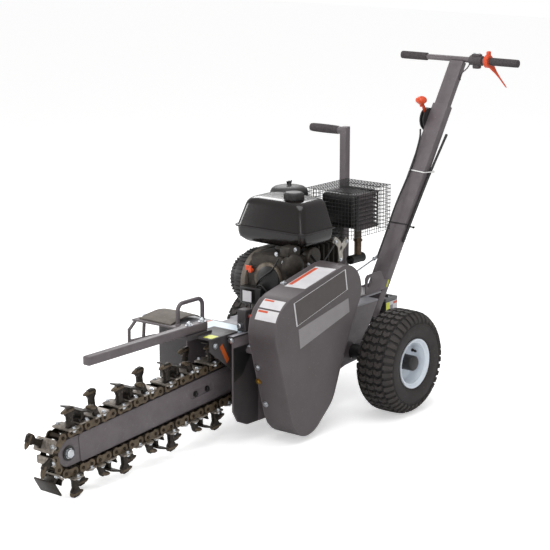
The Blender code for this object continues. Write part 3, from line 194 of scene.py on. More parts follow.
def turned(name, profile, where=(0, 0, 0), axis="Y", steps=32, closed=False, width=0.0):
    """A profile of (radius, distance along the axis) points, spun once round."""
    made = drawn(name, [(r, 0, h) for r, h in profile], closed, False)
    edited(made, (bpy.ops.mesh.spin, {
        "steps": steps, "angle": 2 * math.pi, "center": (0, 0, 0), "axis": (0, 0, 1)}))
    tidy(made)
    made.rotation_euler = {
        "Y": (-math.pi / 2, 0, 0), "Z": (0, 0, 0), "X": (0, math.pi / 2, 0)}[axis]
    made.location = where
    return soften(apply_place(made), width)


def bar(name, radius, start, end, sides, width=0.0):
    """A cylinder between two points."""
    start, end = Vector(start), Vector(end)
    pick()
    bpy.ops.mesh.primitive_cylinder_add(
        vertices=sides, radius=radius, depth=(end - start).length, location=(start + end) / 2)
    made = bpy.context.object
    made.name = name
    made.rotation_euler = (end - start).to_track_quat("Z", "Y").to_euler()
    return soften(apply_place(made), width, 1, 50)


def smooth_route(points, steps=6):
    """Points on one smooth curve through the given ones."""
    ends = [Vector(p) for p in (points[0], *points, points[-1])]
    route = []
    for a, b, c, d in zip(ends, ends[1:], ends[2:], ends[3:]):
        for k in range(steps):
            t = k / steps
            route.append(0.5 * (2 * b + (c - a) * t + (2 * a - 5 * b + 4 * c - d) * t * t
                                + (3 * b - a - 3 * c + d) * t ** 3))
    return [*route, ends[-1]]


def cable(name, route, radius, fineness=3):
    """A curve of one open spline with a round bevel."""
    curve = bpy.data.curves.new(name, "CURVE")
    curve.dimensions = "3D"
    curve.bevel_depth = radius
    curve.bevel_resolution = fineness
    curve.use_fill_caps = True
    spline = curve.splines.new("POLY")
    spline.points.add(len(route) - 1)
    for point, where in zip(spline.points, route):
        point.co = (*where, 1)
    made = bpy.data.objects.new(name, curve)
    bpy.context.collection.objects.link(made)
    return made


def free_cord(name, route, radius, body, nodes=()):
    """A cable between two of the object's own pieces, with its length measured."""
    made = cable(name, [place(*point) for point in route], radius)
    points = [Vector(point.co[:3]) for point in made.data.splines[0].points]
    length = sum((b - a).length for a, b in zip(points, points[1:]))
    settled(made, body, "black_pvc", nodes)
    tuple(points[0])


def tube(name, route, radius, fineness=3):
    """A bent bar as a mesh."""
    made = cable(name, route, radius, fineness)
    pick(made)
    bpy.ops.object.convert(target="MESH")
    return soften(tidy(bpy.context.object))


def loft(name, rings, capped=True):
    """A skin through rings of as many points each. The last is closed, the first where asked."""
    made = drawn(name, rings[0], True, capped)
    count = len(rings[0])
    points = [tuple(p) for ring in rings for p in ring]
    faces = []
    for row in range(len(rings) - 1):
        for i in range(count):
            j = (i + 1) % count
            a = row * count
            faces.append((a + i, a + j, a + count + j, a + count + i))
    if capped:
        faces.append(tuple(range(count))[::-1])
    faces.append(tuple((len(rings) - 1) * count + i for i in range(count)))
    made.data.clear_geometry()
    made.data.from_pydata(points, [], faces)
    return soften(tidy(made))


def joined(name, *objects):
    """Joins pieces into the first one, and names it."""
    pick(*objects)
    if len(objects) > 1:
        bpy.ops.object.join()
    made = bpy.context.view_layer.objects.active
    made.name = name
    return made


def moved(obj, matrix):
    """Moves a shape's mesh by a matrix."""
    obj.data.transform(matrix)
    return obj


def repeated(name, source, matrices):
    """Copies of one finished shape, each with its own mesh, joined into one piece."""
    made = []
    for matrix in matrices:
        copy = source.copy()
        copy.data = source.data.copy()
        bpy.context.collection.objects.link(copy)
        made.append(moved(copy, matrix))
    bpy.data.objects.remove(source)
    return joined(name, *made)


def settled(obj, body, finish, nodes=()):
    """Gives a finished piece its body and its finish, and hides the nodes it stands for."""
    obj.data.materials.clear()
    obj.data.materials.append(bpy.data.materials[finish])
    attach(obj, body)
    if nodes:
        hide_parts(*nodes)
    return obj


def fitted(obj, finish, nodes=(), body="frame"):
    """Takes a finished piece from axle coordinates to the model's frame, and settles it there."""
    return settled(moved(obj, Matrix.Translation((axle_x, 0, 0))), body, finish, nodes)


def recast(node, body, finish, width, segments=2):
    """A merged copy of a CAD node with rounded edges, which stands for it."""
    made = bpy.data.objects.new(f"{node}_dressed", frame["nodes"][node].data.copy())
    bpy.context.collection.objects.link(made)
    pick(made)
    bpy.ops.mesh.customdata_custom_splitnormals_clear()
    edited(made, (bpy.ops.mesh.remove_doubles, {"threshold": 1e-5}),
           (bpy.ops.mesh.dissolve_limited, {"angle_limit": math.radians(FLAT_ANGLE)}))
    return settled(soften(made, width, segments), body, finish, (node,))


def hex_bolt(radius, height, flange):
    """A hexagon head on a round washer, standing on Z = 0."""
    head = bar("bolt_head", radius, (0, 0, 0.0012), (0, 0, height), 6, radius * 0.12)
    washer = bar("bolt_washer", radius * flange, (0, 0, -0.0004), (0, 0, 0.0016), 16)
    return joined("bolt", head, washer)


def facing(where, direction):
    """The matrix that stands a shape made on Z = 0 at a point, along a direction."""
    return Matrix.Translation(where) @ Vector(direction).to_track_quat("Z", "Y").to_matrix().to_4x4()


# Finishes


def srgb(code):
    """An sRGB hex value as three parts of one."""
    return tuple(int(code[i:i + 2], 16) / 255 for i in (1, 3, 5))


def linear(code):
    """An sRGB hex value, or three sRGB parts, as linear red, green, blue and alpha."""
    parts = srgb(code) if isinstance(code, str) else code
    return (*(c / 12.92 if c <= 0.04045 else ((c + 0.055) / 1.055) ** 2.4 for c in parts), 1.0)


def add(tree, kind, links=None, values=None, **settings):
    """Adds a node with its settings, its values, and its links given as input: (node, output)."""
    made = tree.nodes.new(kind)
    for name, value in settings.items():
        setattr(made, name, value)
    for name, value in (values or {}).items():
        made.inputs[name].default_value = value
    for name, (source, output) in (links or {}).items():
        tree.links.new(source.outputs[output], made.inputs[name])
    return made


def surface(name, slot, light, dark, rough, grain, relief, blotch=45.0, metallic=0.0, stain=None,
            stain_size=18.0, stain_amount=0.0, **sockets):
    """A finish of two close colours in blotches, with an uneven sheen and a fine relief.

    grain, blotch and stain_size are real sizes in millimetres, relief is the height of the grain.
    rough gives the lowest and the highest roughness, and stain_amount widens the stained spots.
    """
    spread = 0.18
    made = bpy.data.materials.new(name)
    made.use_nodes = True
    tree = made.node_tree
    shader = tree.nodes["Principled BSDF"]
    shader.inputs["Metallic"].default_value = metallic
    for socket, value in sockets.items():
        shader.inputs[socket.replace("_", " ")].default_value = value
    where = add(tree, "ShaderNodeTexCoord")
    clouds = add(tree, "ShaderNodeTexNoise", {"Vector": (where, "Object")},
                 {"Scale": 1000 / blotch, "Detail": 5.0, "Roughness": 0.6})
    share = add(tree, "ShaderNodeMapRange", {"Value": (clouds, "Fac")},
                {"From Min": 0.5 - spread, "From Max": 0.5 + spread})
    colour = add(tree, "ShaderNodeMix", {0: (share, "Result")}, {6: linear(light), 7: linear(dark)},
                 data_type="RGBA")
    if stain:
        spots = add(tree, "ShaderNodeTexNoise", {"Vector": (where, "Object")},
                    {"Scale": 1000 / stain_size, "Detail": 6.0, "Roughness": 0.7})
        cut = add(tree, "ShaderNodeMapRange", {"Value": (spots, "Fac")},
                  {"From Min": 0.62 - stain_amount / 2, "From Max": 0.72 - stain_amount / 2})
        colour = add(tree, "ShaderNodeMix", {0: (cut, "Result"), 6: (colour, 2)}, {7: linear(stain)},
                     data_type="RGBA")
    tree.links.new(colour.outputs[2], shader.inputs["Base Color"])
    fine = add(tree, "ShaderNodeTexNoise", {"Vector": (where, "Object")},
               {"Scale": 1000 / grain, "Detail": 3.0})
    sheen = add(tree, "ShaderNodeMapRange", {"Value": (fine, "Fac")},
                {"From Min": 0.3, "From Max": 0.7, "To Min": rough[0], "To Max": rough[1]})
    tree.links.new(sheen.outputs["Result"], shader.inputs["Roughness"])
    bump = add(tree, "ShaderNodeBump", {"Height": (fine, "Fac")},
               {"Strength": 0.6, "Distance": relief / 1000})
    tree.links.new(bump.outputs["Normal"], shader.inputs["Normal"])
    return made


def make_finishes(colours):
    """All the finishes, each with its two colours, its sheen, and its grain and relief."""
    # Powder-coated steel: baked on, so the eye sees an even warm grey with a faint orange-peel skin.
    surface("powder_coated_steel", "frame_paint", colours.frame_coat, "#5a5356", (0.38, 0.5), 1.6, 0.05,
            stain="#7a7371", stain_size=9.0, stain_amount=0.02)
    # The same coat on the guard's thin sheet, a little darker and smoother.
    surface("powder_coated_sheet", "guard_paint", colours.guard_coat, "#4c4647", (0.36, 0.46), 1.8,
            0.04, blotch=120.0, stain="#6f6764", stain_size=7.0, stain_amount=0.01)
    # Dark powder coat on brackets that sit in shade, its darkness partly painted shade; on the near
    # plate's front it is painted shade only.
    surface("dark_coat_and_painted_shade", "frame_paint", "#3a3637", "#322e2f", (0.4, 0.52), 1.6, 0.05)
    # Satin alkyd enamel on the deck plates and the lid's top: pale all over as painted sky light on these
    # tops, with scuffs from boots.
    surface("deck_enamel_painted_skylight", "deck_paint", "#8b8a90", "#7c7b80", (0.34, 0.5), 1.2, 0.04,
            stain="#5f5c5c", stain_size=6.0, stain_amount=0.03)
    # Hot-rolled steel, oiled and worn by soil: brown-black with a dull metal gleam on its crowns.
    surface("oiled_chain_steel", "chain_steel", "#3a3228", "#231d18", (0.3, 0.55), 2.5, 0.12,
            blotch=14.0, metallic=0.85, stain="#6a5640", stain_size=5.0, stain_amount=0.05)
    # Outer link plates, polished brown by soil on their rounded ends.
    surface("worn_link_steel", "chain_steel", "#6b5c48", "#4a3f31", (0.36, 0.55), 2.5, 0.12,
            blotch=12.0, metallic=0.35, stain="#2c251d", stain_size=9.0, stain_amount=0.05)
    # Forged cutter steel, blackened, with bare metal where the soil has rubbed it.
    surface("forged_cutter_steel", "chain_steel", "#3b3631", "#221e1b", (0.32, 0.5), 2.0, 0.12,
            blotch=16.0, metallic=0.7, stain="#857a6c", stain_size=7.0, stain_amount=0.04)
    # Base plates scoured by soil: pale on their flats, dull in the corners.
    surface("scoured_base_steel", "chain_steel", "#a39b92", "#6f675f", (0.34, 0.52), 1.5, 0.05,
            blotch=10.0, metallic=0.7)
    # Brazed carbide points: a warm brown-gold grey.
    surface("brazed_carbide", "chain_steel", "#6a5c4b", "#41372c", (0.34, 0.5), 1.5, 0.08,
            blotch=10.0, metallic=0.5)
    # Zinc-plated steel: bright, slightly blue, with a soft cloudy sheen.
    surface("zinc_plated_steel", "zinc", "#dcdfe2", "#bfc3c8", (0.22, 0.38), 1.0, 0.02, blotch=8.0,
            metallic=1.0)
    # Yellow-passivated zinc on one of the guard's bolts.
    surface("yellow_zinc", "zinc", "#c09a4e", "#9c7a3c", (0.28, 0.42), 1.0, 0.02, blotch=6.0,
            metallic=1.0)
    # Ground steel on shafts, pulleys and sprockets.
    surface("ground_steel", "bare_steel", "#b4b1ad", "#94918d", (0.25, 0.42), 0.8, 0.02, blotch=12.0,
            metallic=1.0)
    # Cured tyre rubber: deep brown-black, dusty on the lugs, nearly matt.
    surface("turf_tyre_rubber", "tyre_rubber", "#322e2d", "#272423", (0.62, 0.8), 1.2, 0.1,
            blotch=30.0, stain="#45403b", stain_size=16.0, stain_amount=0.04)
    # Tops of the tread blocks, scuffed to a dusty brown grey.
    surface("worn_tread_rubber", "tyre_rubber", "#3b3634", "#2e2a29", (0.62, 0.8), 1.2, 0.1,
            blotch=26.0, stain="#4b443e", stain_size=14.0, stain_amount=0.03)
    # Painted shade in the grooves: rubber darkened to stand for the shade down between the tread blocks.
    surface("groove_painted_shade", "tyre_rubber", "#151312", "#100f0e", (0.7, 0.84), 1.2, 0.08)
    # Baked white enamel on the pressed rims: clean, with a soft gloss.
    surface("white_rim_enamel", "rim_paint", colours.rim_white, "#d2dae3", (0.26, 0.36), 2.5, 0.02,
            blotch=60.0, Coat_Weight=0.2)
    # Gloss stoving enamel on the fuel tank: near black, mirror-like with faint ripples.
    surface("gloss_black_enamel", "gloss_black", "#181211", "#120e0d", (0.16, 0.24), 4.0, 0.006,
            blotch=90.0)
    # Moulded ABS with a fine spark-eroded texture.
    surface("black_abs", "black_plastic", "#2a2828", "#232121", (0.42, 0.56), 0.9, 0.05)
    # Glass-filled nylon of the stop housing: dark warm grey, faintly speckled.
    surface("grey_nylon", "black_plastic", "#4a4446", "#3f3a3c", (0.48, 0.62), 0.8, 0.05)
    # Satin black enamel on sheet-metal engine parts.
    surface("satin_black_enamel", "black_parts", "#1b1a1a", "#141313", (0.3, 0.44), 1.4, 0.04)
    # Sand-cast aluminium: dark grey, with darker spots and a pebbled skin.
    surface("sand_cast_aluminium", "cast_aluminium", "#3f3a34", "#292521", (0.4, 0.58), 1.6, 0.14,
            blotch=22.0, metallic=0.4, stain="#25211e", stain_size=14.0, stain_amount=0.05)
    # The same casting, paler and browner on the front drum: partly its lighter rim, partly a painted
    # highlight on it.
    surface("paler_casting_painted_highlight", "cast_aluminium", "#6f6558", "#4f473d", (0.4, 0.56), 1.6, 0.12,
            blotch=18.0, metallic=0.35, stain="#35302b", stain_size=12.0, stain_amount=0.05)
    # Die-cast aluminium that has stayed bright.
    surface("bright_cast_aluminium", "cast_aluminium", "#c2beb6", "#9a958c", (0.32, 0.46), 1.4, 0.08,
            blotch=18.0, metallic=0.85)
    # Painted blower housing: warm light grey.
    surface("blower_enamel", "blower_paint", "#776f64", "#5a534b", (0.38, 0.52), 1.5, 0.05)
    # Moulded orange ABS of the control levers.
    surface("orange_abs", "orange_plastic", colours.lever_orange, "#cf4620", (0.3, 0.42), 1.0, 0.03)
    # Moulded red ABS of the stop button.
    surface("red_abs", "red_plastic", "#d0402a", "#b93420", (0.3, 0.42), 1.0, 0.03)
    # Closed-cell foam grips: matt, pitted, dark.
    surface("closed_cell_foam", "foam", "#4c4648", "#3b3638", (0.8, 0.92), 1.2, 0.25, blotch=8.0)
    # Fabric-backed rubber flap, brownish grey with dried soil.
    surface("flap_rubber", "rubber", "#6d665e", "#57514a", (0.6, 0.78), 2.0, 0.1, blotch=35.0,
            stain="#6f675c", stain_size=14.0, stain_amount=0.06)
    # Black PVC sheath of cables and the conduit.
    surface("black_pvc", "rubber", "#1d1b1b", "#161515", (0.38, 0.5), 1.2, 0.03)
    # Black-lacquered welded wire.
    surface("lacquered_wire", "black_parts", "#1d1b1a", "#131211", (0.34, 0.48), 1.0, 0.02)
    # Grey louvres: matt, with a warm violet cast.
    surface("grey_louvre_steel", "black_parts", "#645a5d", "#4a4345", (0.44, 0.6), 1.4, 0.04)
    # Steel exhaust pipe burnt brown by heat.
    surface("burnt_steel", "black_parts", "#6b5846", "#3d3229", (0.34, 0.52), 1.6, 0.05, blotch=16.0,
            metallic=0.75)
    # Blank vinyl plates, pale and even.
    surface("pale_vinyl", "deck_paint", "#d9dcdc", "#cfd2d2", (0.35, 0.42), 1.5, 0.01, blotch=30.0)
    # A blank bluish enamelled plate on the chain housing.
    surface("pale_blue_plate", "deck_paint", "#d3e1ec", "#c3d2de", (0.3, 0.38), 1.5, 0.01, blotch=40.0)
    # Grey printed film on the guard.
    surface("grey_film", "guard_paint", "#8d898b", "#858183", (0.36, 0.44), 1.5, 0.01)
    surface("dark_film", "guard_paint", "#4a4342", "#443d3c", (0.34, 0.42), 1.5, 0.01)
    surface("pale_film", "guard_paint", "#d6d4d6", "#cac8ca", (0.34, 0.42), 1.5, 0.01)
    # Plain coloured films: a red line, an orange patch and a yellow patch.
    surface("red_film", "deck_paint", "#cf5a3c", "#c24e32", (0.36, 0.44), 1.5, 0.01)
    surface("orange_film", "deck_paint", "#b5541f", "#a1481a", (0.36, 0.44), 1.5, 0.01)
    surface("yellow_film", "deck_paint", "#d6dc3a", "#c4c92f", (0.36, 0.44), 1.5, 0.01)
    # Natural nylon cable tie.
    surface("natural_nylon", "zinc", "#ececea", "#dededc", (0.3, 0.4), 0.8, 0.01)
    # Grey polypropylene of the battery's lid.
    surface("grey_polypropylene", "black_plastic", "#6a6a6c", "#5c5c5e", (0.4, 0.52), 1.0, 0.03)


# The trencher's own lines, from the axle's middle

pitch = 0.0381
chain_links = 60
sprocket_teeth = 12
sprocket_radius = pitch / (2 * math.sin(math.pi / sprocket_teeth))
nose_radius = 0.0655
boom_slope = math.radians(4.52)
centre_distance = 0.92726
head = Vector((-0.485, 0.224))
along = Vector((-math.cos(boom_slope), -math.sin(boom_slope)))
across = Vector((-math.sin(boom_slope), math.cos(boom_slope)))
nose = head + along * centre_distance
run_tilt = math.asin((sprocket_radius - nose_radius) / centre_distance)
run = centre_distance * math.cos(run_tilt) / pitch
head_step = 2 * math.pi / sprocket_teeth
nose_step = 2 * math.asin(pitch / (2 * nose_radius))
turn_nose = (math.pi - 2 * run_tilt) / nose_step

column_angle = math.radians(57)
column_x, column_z, column_lean = 0.4481, 0.5852, 0.6494
slope = Vector((math.cos(column_angle), 0, math.sin(column_angle)))
forward = Vector((-math.sin(column_angle), 0, math.cos(column_angle)))
tee = Vector((0.84396, 0, 1.19477))
clutch_pivot = Vector((0.69637, 0.0463, 0.9675))
crank = (-0.28, 0, 0.49)
guard_circles = [(-0.475, 0.131, 0.115), (-0.42, 0.17, 0.11), (-0.28, 0.49, 0.1), (-0.55, 0.411, 0.122)]


def column_at(height):
    """The column's centre line at a height."""
    return Vector((column_x + (height - column_z) * column_lean, 0, height))


def at_axle(matrix):
    """The same placing matrix, taken from axle coordinates to the model's frame."""
    return Matrix.Translation((axle_x, 0, 0)) @ matrix


def chain_at(t):
    """Place, travel direction and outward direction at t pitches from the head's upper tangent."""
    t %= chain_links
    upper_out = across * math.cos(run_tilt) + along * math.sin(run_tilt)
    lower_out = -across * math.cos(run_tilt) + along * math.sin(run_tilt)
    if t < run:
        travel = Vector((-upper_out.y, upper_out.x))
        return head + upper_out * sprocket_radius + travel * t * pitch, travel, upper_out
    t -= run
    if t < turn_nose:
        out = Matrix.Rotation(t * nose_step, 2) @ upper_out
        return nose + out * nose_radius, Vector((-out.y, out.x)), out
    t -= turn_nose
    if t < run:
        travel = Vector((-lower_out.y, lower_out.x))
        return nose + lower_out * nose_radius + travel * t * pitch, travel, lower_out
    t -= run
    out = Matrix.Rotation(t * head_step, 2) @ lower_out
    return head + out * sprocket_radius, Vector((-out.y, out.x)), out


def standing(where, travel, out):
    """Local X along the travel, Z outwards and Y towards the near wheel."""
    return Matrix(((travel.x, 0, out.x, axle_x + where.x), (0, -1, 0, 0),
                   (travel.y, 0, out.y, where.y), (0, 0, 0, 1)))


def at_pin(t):
    """The frame of one pin, t pitches along the chain."""
    return standing(*chain_at(t))


def at_link(t):
    """The frame of the link between pins t and t + 1, about its middle."""
    start, end = chain_at(t)[0], chain_at(t + 1)[0]
    travel = (end - start).normalized()
    return standing((start + end) / 2, travel, Vector((travel.y, -travel.x)))


def arc(centre, radius, start, end, steps):
    """Points on an arc, from one angle to another in degrees."""
    return [(centre[0] + radius * math.cos(math.radians(start + (end - start) * k / steps)),
             centre[1] + radius * math.sin(math.radians(start + (end - start) * k / steps)))
            for k in range(steps + 1)]


def rounded_box(low, high, corner, steps=4):
    """A rectangle's outline with round corners."""
    (x0, y0), (x1, y1) = low, high
    return [*arc((x1 - corner, y1 - corner), corner, 0, 90, steps),
            *arc((x0 + corner, y1 - corner), corner, 90, 180, steps),
            *arc((x0 + corner, y0 + corner), corner, 180, 270, steps),
            *arc((x1 - corner, y0 + corner), corner, 270, 360, steps)]


def cut_away(obj, cutter):
    """Takes the cutter's shape out of the piece."""
    modified(obj, "BOOLEAN", object=cutter, solver="EXACT")
    bpy.data.objects.remove(cutter)
    return soften(obj)


def all_round(centre, count, axis="Y", start=0):
    """Matrices that set copies evenly round an axis through a point."""
    return [Matrix.Translation(centre) @ Matrix.Rotation(2 * math.pi * (k + start) / count, 4, axis)
            for k in range(count)]


def bolts(name, places, radius, height, flange=1.5):
    """Hexagon bolts with washers, each at (point, direction) from the axle."""
    return repeated(name, hex_bolt(radius, height, flange),
                    [at_axle(facing(where, direction)) for where, direction in places])


# Sizes and colours


class TrencherSizes(bpy.types.PropertyGroup):
    """Sizes that can be set before the pieces are made."""

    link_plate: bpy.props.FloatProperty(
        name="Link plate", description="Thickness of one chain plate", default=0.0034, unit="LENGTH")
    tooth_radius: bpy.props.FloatProperty(
        name="Tooth radius", description="Radius of a pointed tooth", default=0.0085, unit="LENGTH")
    tread_rows: bpy.props.IntProperty(
        name="Tread rows", description="Rows of tread blocks round a tyre", default=40)
    tread_depth: bpy.props.FloatProperty(
        name="Tread depth", description="Height of a tread block", default=0.0065, unit="LENGTH")
    guard_wall: bpy.props.FloatProperty(
        name="Guard wall", description="Sheet thickness of the belt guard", default=0.0025,
        unit="LENGTH")
    mesh_pitch: bpy.props.FloatProperty(
        name="Mesh pitch", description="Distance between two wires of the cage", default=0.0145,
        unit="LENGTH")
    wire_radius: bpy.props.FloatProperty(
        name="Wire radius", description="Radius of one wire of the cage", default=0.00105,
        unit="LENGTH")
    grip_rib: bpy.props.FloatProperty(
        name="Grip rib", description="Distance between two ribs of a grip", default=0.0075,
        unit="LENGTH")
    bolt_radius: bpy.props.FloatProperty(
        name="Bolt radius", description="Half the width of a bolt's head", default=0.0075,
        unit="LENGTH")
    camera_place: bpy.props.FloatVectorProperty(
        name="Camera place", description="Where the camera stands", default=(-4.832, -3.832, 1.978),
        subtype="TRANSLATION")
    camera_lens: bpy.props.FloatProperty(
        name="Camera lens", description="Focal length on a 36 mm sensor", default=115.88)


class TrencherColours(bpy.types.PropertyGroup):
    """The main paint and plastic colours, as they look on a screen."""

    frame_coat: bpy.props.FloatVectorProperty(
        name="Frame coat", description="Powder coat of the frame and the column",
        default=srgb("#655e61"), subtype="COLOR_GAMMA", size=3)
    guard_coat: bpy.props.FloatVectorProperty(
        name="Guard coat", description="Powder coat of the belt guard",
        default=srgb("#554e50"), subtype="COLOR_GAMMA", size=3)
    lever_orange: bpy.props.FloatVectorProperty(
        name="Lever orange", description="Moulded colour of the control levers",
        default=srgb("#e0542a"), subtype="COLOR_GAMMA", size=3)
    rim_white: bpy.props.FloatVectorProperty(
        name="Rim white", description="Enamel of the wheel rims",
        default=srgb("#dfe7f0"), subtype="COLOR_GAMMA", size=3)


class Step:
    """A modelling step: it builds its pieces, and says so when it made none."""

    bl_options = {"REGISTER"}

    def execute(self, context):
        before = len(bpy.data.objects) + len(bpy.data.materials)
        self.build(context.scene.trencher_sizes, context.scene.trencher_colours)
        if len(bpy.data.objects) + len(bpy.data.materials) == before:
            raise RuntimeError(f"{self.bl_label} made nothing")
        return {"FINISHED"}


class TRENCHER_OT_finishes(Step, bpy.types.Operator):
    """Make the finishes that the pieces share"""

    bl_idname = "trencher.finishes"
    bl_label = "Finishes"

    def build(self, sizes, colours):
        make_finishes(colours)


class TRENCHER_OT_cords(Step, bpy.types.Operator):
    """Run the clutch cable down the column and the stop wire from the housing"""

    bl_idname = "trencher.cords"
    bl_label = "Cable and wire"

    def build(self, sizes, colours):
        adjuster = Vector((0.326, 0.02, 0.476))

        def off_face(height, stand):
            """A point over the column's front face, at a height and a distance from the face."""
            return column_at(height) + forward * (0.018 + stand) + Vector((0, 0.026, 0))

        start = clutch_pivot - slope * 0.058 + forward * 0.022
        route = smooth_route([start, off_face(0.875, 0.014), off_face(0.78, 0.0038),
                              off_face(0.64, 0.018), off_face(0.545, 0.016), adjuster], 8)
        free_cord("clutch_cable_sheath", route, 0.0035, "frame", ("clutch_cable",))
        rod_end = Vector((-0.074, -0.14, 0.494))
        line = (rod_end - adjuster).normalized()
        rod = bar("clutch_link", 0.0032, adjuster + line * 0.0032, rod_end, 12)
        sleeve = bar("clutch_adjuster", 0.007, adjuster, adjuster + line * 0.05, 6, 0.001)
        lock = bar("clutch_lock_nut", 0.0085, adjuster + line * 0.052, adjuster + line * 0.058, 6,
                   0.0008)
        clevis = bar("clutch_clevis", 0.008, rod_end - line * 0.028, rod_end, 12, 0.002)
        fitted(joined("clutch_linkage", rod, sleeve, lock, clevis), "zinc_plated_steel",
               ("clutch_rod",))
        entry = tee - slope * 0.075
        wire_route = smooth_route([
            (tee.x - 0.016, -0.064, tee.z - 0.008), (tee.x - 0.026, -0.056, tee.z - 0.03),
            (entry.x - 0.004, -0.0398, entry.z + 0.01), (entry.x, -0.0343, entry.z - 0.015)], 8)
        free_cord("stop_wire", wire_route, 0.0022, "handle")


class TRENCHER_OT_boom(Step, bpy.types.Operator):
    """Model the digging boom: its bar, nose piece, adjusting slot and nose bolt"""

    bl_idname = "trencher.boom"
    bl_label = "Boom"

    def build(self, sizes, colours):
        recast("boom_bar", "frame", "powder_coated_steel", 0.0015)
        start, end = head + along * 0.1, nose - along * 0.055
        half = 0.0475
        cheeks = []
        for side in (-1, 1):
            low, high = sorted((side * 0.0212, side * 0.024))
            outline = [start + across * half, start - across * half, end - across * half,
                       end - across * (half - 0.01) + along * 0.006,
                       end + across * (half - 0.01) + along * 0.006, end + across * half]
            cheek = plate(f"boom_cheek_{side}", outline, "Y", low, high, 0.0008)
            slot_mid = head + along * 0.285
            ends = [slot_mid + along * 0.05, slot_mid - along * 0.05]
            turn = math.degrees(math.atan2(along.y, along.x))
            slot = [*arc(ends[0], 0.0125, turn - 90, turn + 90, 8),
                    *arc(ends[1], 0.0125, turn + 90, turn + 270, 8)]
            cheeks.append(cut_away(cheek, plate("slot", slot, "Y", low - 0.01, high + 0.01, 0)))
        fitted(joined("boom_main_bar", *cheeks), "powder_coated_steel")
        lined = []
        for side in (-1, 1):
            for step in (0.255, 0.315):
                centre = head + along * step
                lined.append(((centre.x, side * 0.0214, centre.y), (0, side, 0)))
        settled(bolts("boom_slot_bolts", lined, 0.008, 0.0085, 1.35), "frame", "satin_black_enamel")
        washers = [turned(f"nose_washer_{side}", [
            (0, 0), (0.0235, 0), (0.025, side * 0.0015), (0.025, side * 0.0035), (0, side * 0.0035)],
            (nose.x, side * 0.0213, nose.y)) for side in (-1, 1)]
        fitted(joined("nose_washers", *washers), "satin_black_enamel")
        heads = [((nose.x, side * 0.0248, nose.y), (0, side, 0)) for side in (-1, 1)]
        settled(bolts("nose_bolt", heads, 0.0165, 0.01, 1.02), "frame", "zinc_plated_steel",
                ("nose_pin",))
        recast("nose_wheel", "nose_wheel", "ground_steel", 0.0012)


